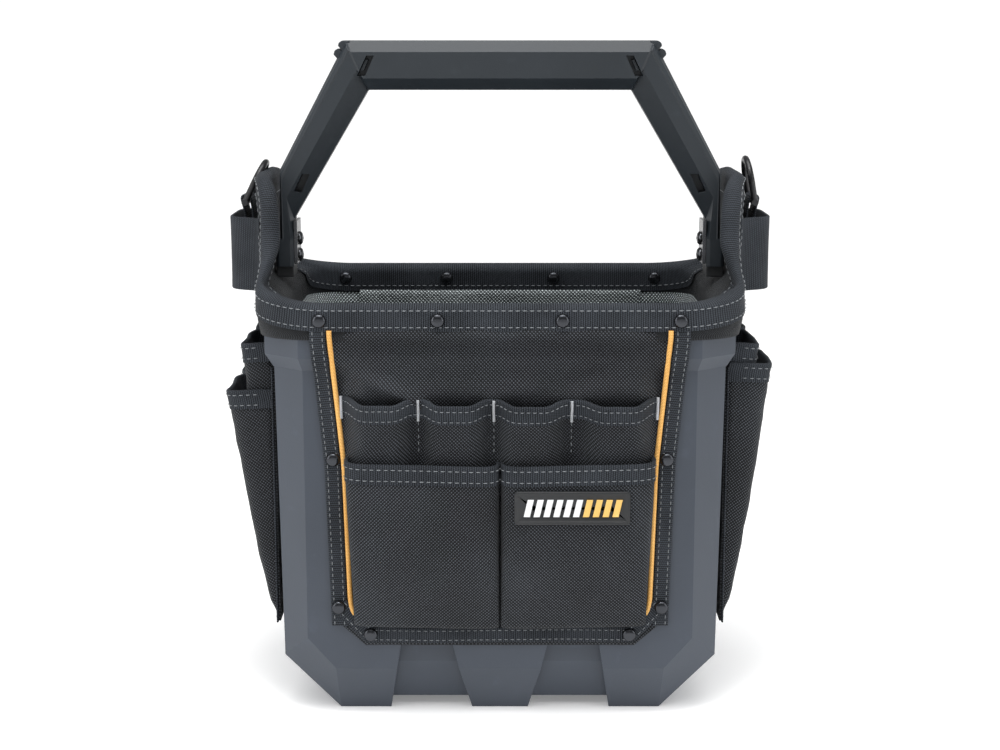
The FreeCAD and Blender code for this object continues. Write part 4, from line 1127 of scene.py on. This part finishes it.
makeRivets()
makePlate()
makeMark("Pale", 0, 6)
makeMark("Amber", 6, 4)
print("rivets and name plate made")


def makeStage():
    half, tone, glow = 40.0, (0.95, 0.95, 0.95, 1), 0.2
    mesh = bpy.data.meshes.new("floor")
    corners = [(-half, -half, 0), (half, -half, 0), (half, half, 0), (-half, half, 0)]
    mesh.from_pydata(corners, [], [(0, 1, 2, 3)])
    paint = bpy.data.materials.new("floorPaint")
    shader = principled(paint)
    for key, val in {"Base Color": tone, "Roughness": 0.7, "Emission Color": (1, 1, 1, 1),
                     "Emission Strength": glow}.items():
        shader[key].default_value = val
    mesh.materials.append(paint)
    linked("floor", mesh)


def areaLight(name, place, width, height, power):
    # a rectangle of light that faces the bucket's middle
    light = bpy.data.lights.new(name, "AREA")
    light.shape, light.size, light.size_y, light.energy = "RECTANGLE", width, height, power
    holder = linked(name, light)
    holder.location = place
    direction = Vector((0, 0, 0.25)) - Vector(place)
    holder.rotation_euler = direction.to_track_quat("-Z", "Y").to_euler()


studio = {"horizon": 1.05, "sky": 0.24, "overhead": 12, "spark": 6, "left": 13, "right": 10,
          "sun": 2.2, "sunSpread": 70, "sunTilt": 14}


def makeLights():
    world = bpy.data.worlds.new("studio")
    bpy.context.scene.world = world
    world.use_nodes = True
    tree = world.node_tree
    back = tree.nodes["Background"]
    back.inputs[0].default_value = (1, 1, 1, 1)
    # white near the horizon, dimmer overhead
    coords = tree.nodes.new("ShaderNodeTexCoord")
    split = tree.nodes.new("ShaderNodeSeparateXYZ")
    tree.links.new(coords.outputs["Object"], split.inputs[0])
    high = Shade(tree, split.outputs["Z"]).abs().between(0.10, 0.22)
    strength = high * (studio["sky"] - studio["horizon"]) + studio["horizon"]
    tree.links.new(strength.socket, back.inputs[1])
    areaLight("overhead", (0, -0.15, 1.9), 1.7, 1.0, studio["overhead"])
    areaLight("spark", (-0.1, -0.6, 1.7), 0.5, 0.3, studio["spark"])
    areaLight("sideLeft", (-1.7, -0.9, 0.9), 0.9, 1.4, studio["left"])
    areaLight("sideRight", (1.7, -0.9, 0.9), 0.9, 1.4, studio["right"])
    sun = bpy.data.lights.new("sky", "SUN")
    sun.energy, sun.angle = studio["sun"], math.radians(studio["sunSpread"])
    linked("sky", sun).rotation_euler = (math.radians(studio["sunTilt"]), 0, 0)


def makeCamera():
    view = {"place": (0, -1.430, 0.519), "down": 10.82, "lens": 64.75}
    camera = bpy.data.cameras.new("camera")
    camera.lens, camera.sensor_width = view["lens"], 36
    holder = linked("camera", camera)
    holder.location = view["place"]
    holder.rotation_euler = (math.radians(90 - view["down"]), 0, 0)
    bpy.context.scene.camera = holder


makeStage()
makeLights()
makeCamera()
bpy.context.scene.view_settings.view_transform = "Standard"
print("stage, lights and camera set")
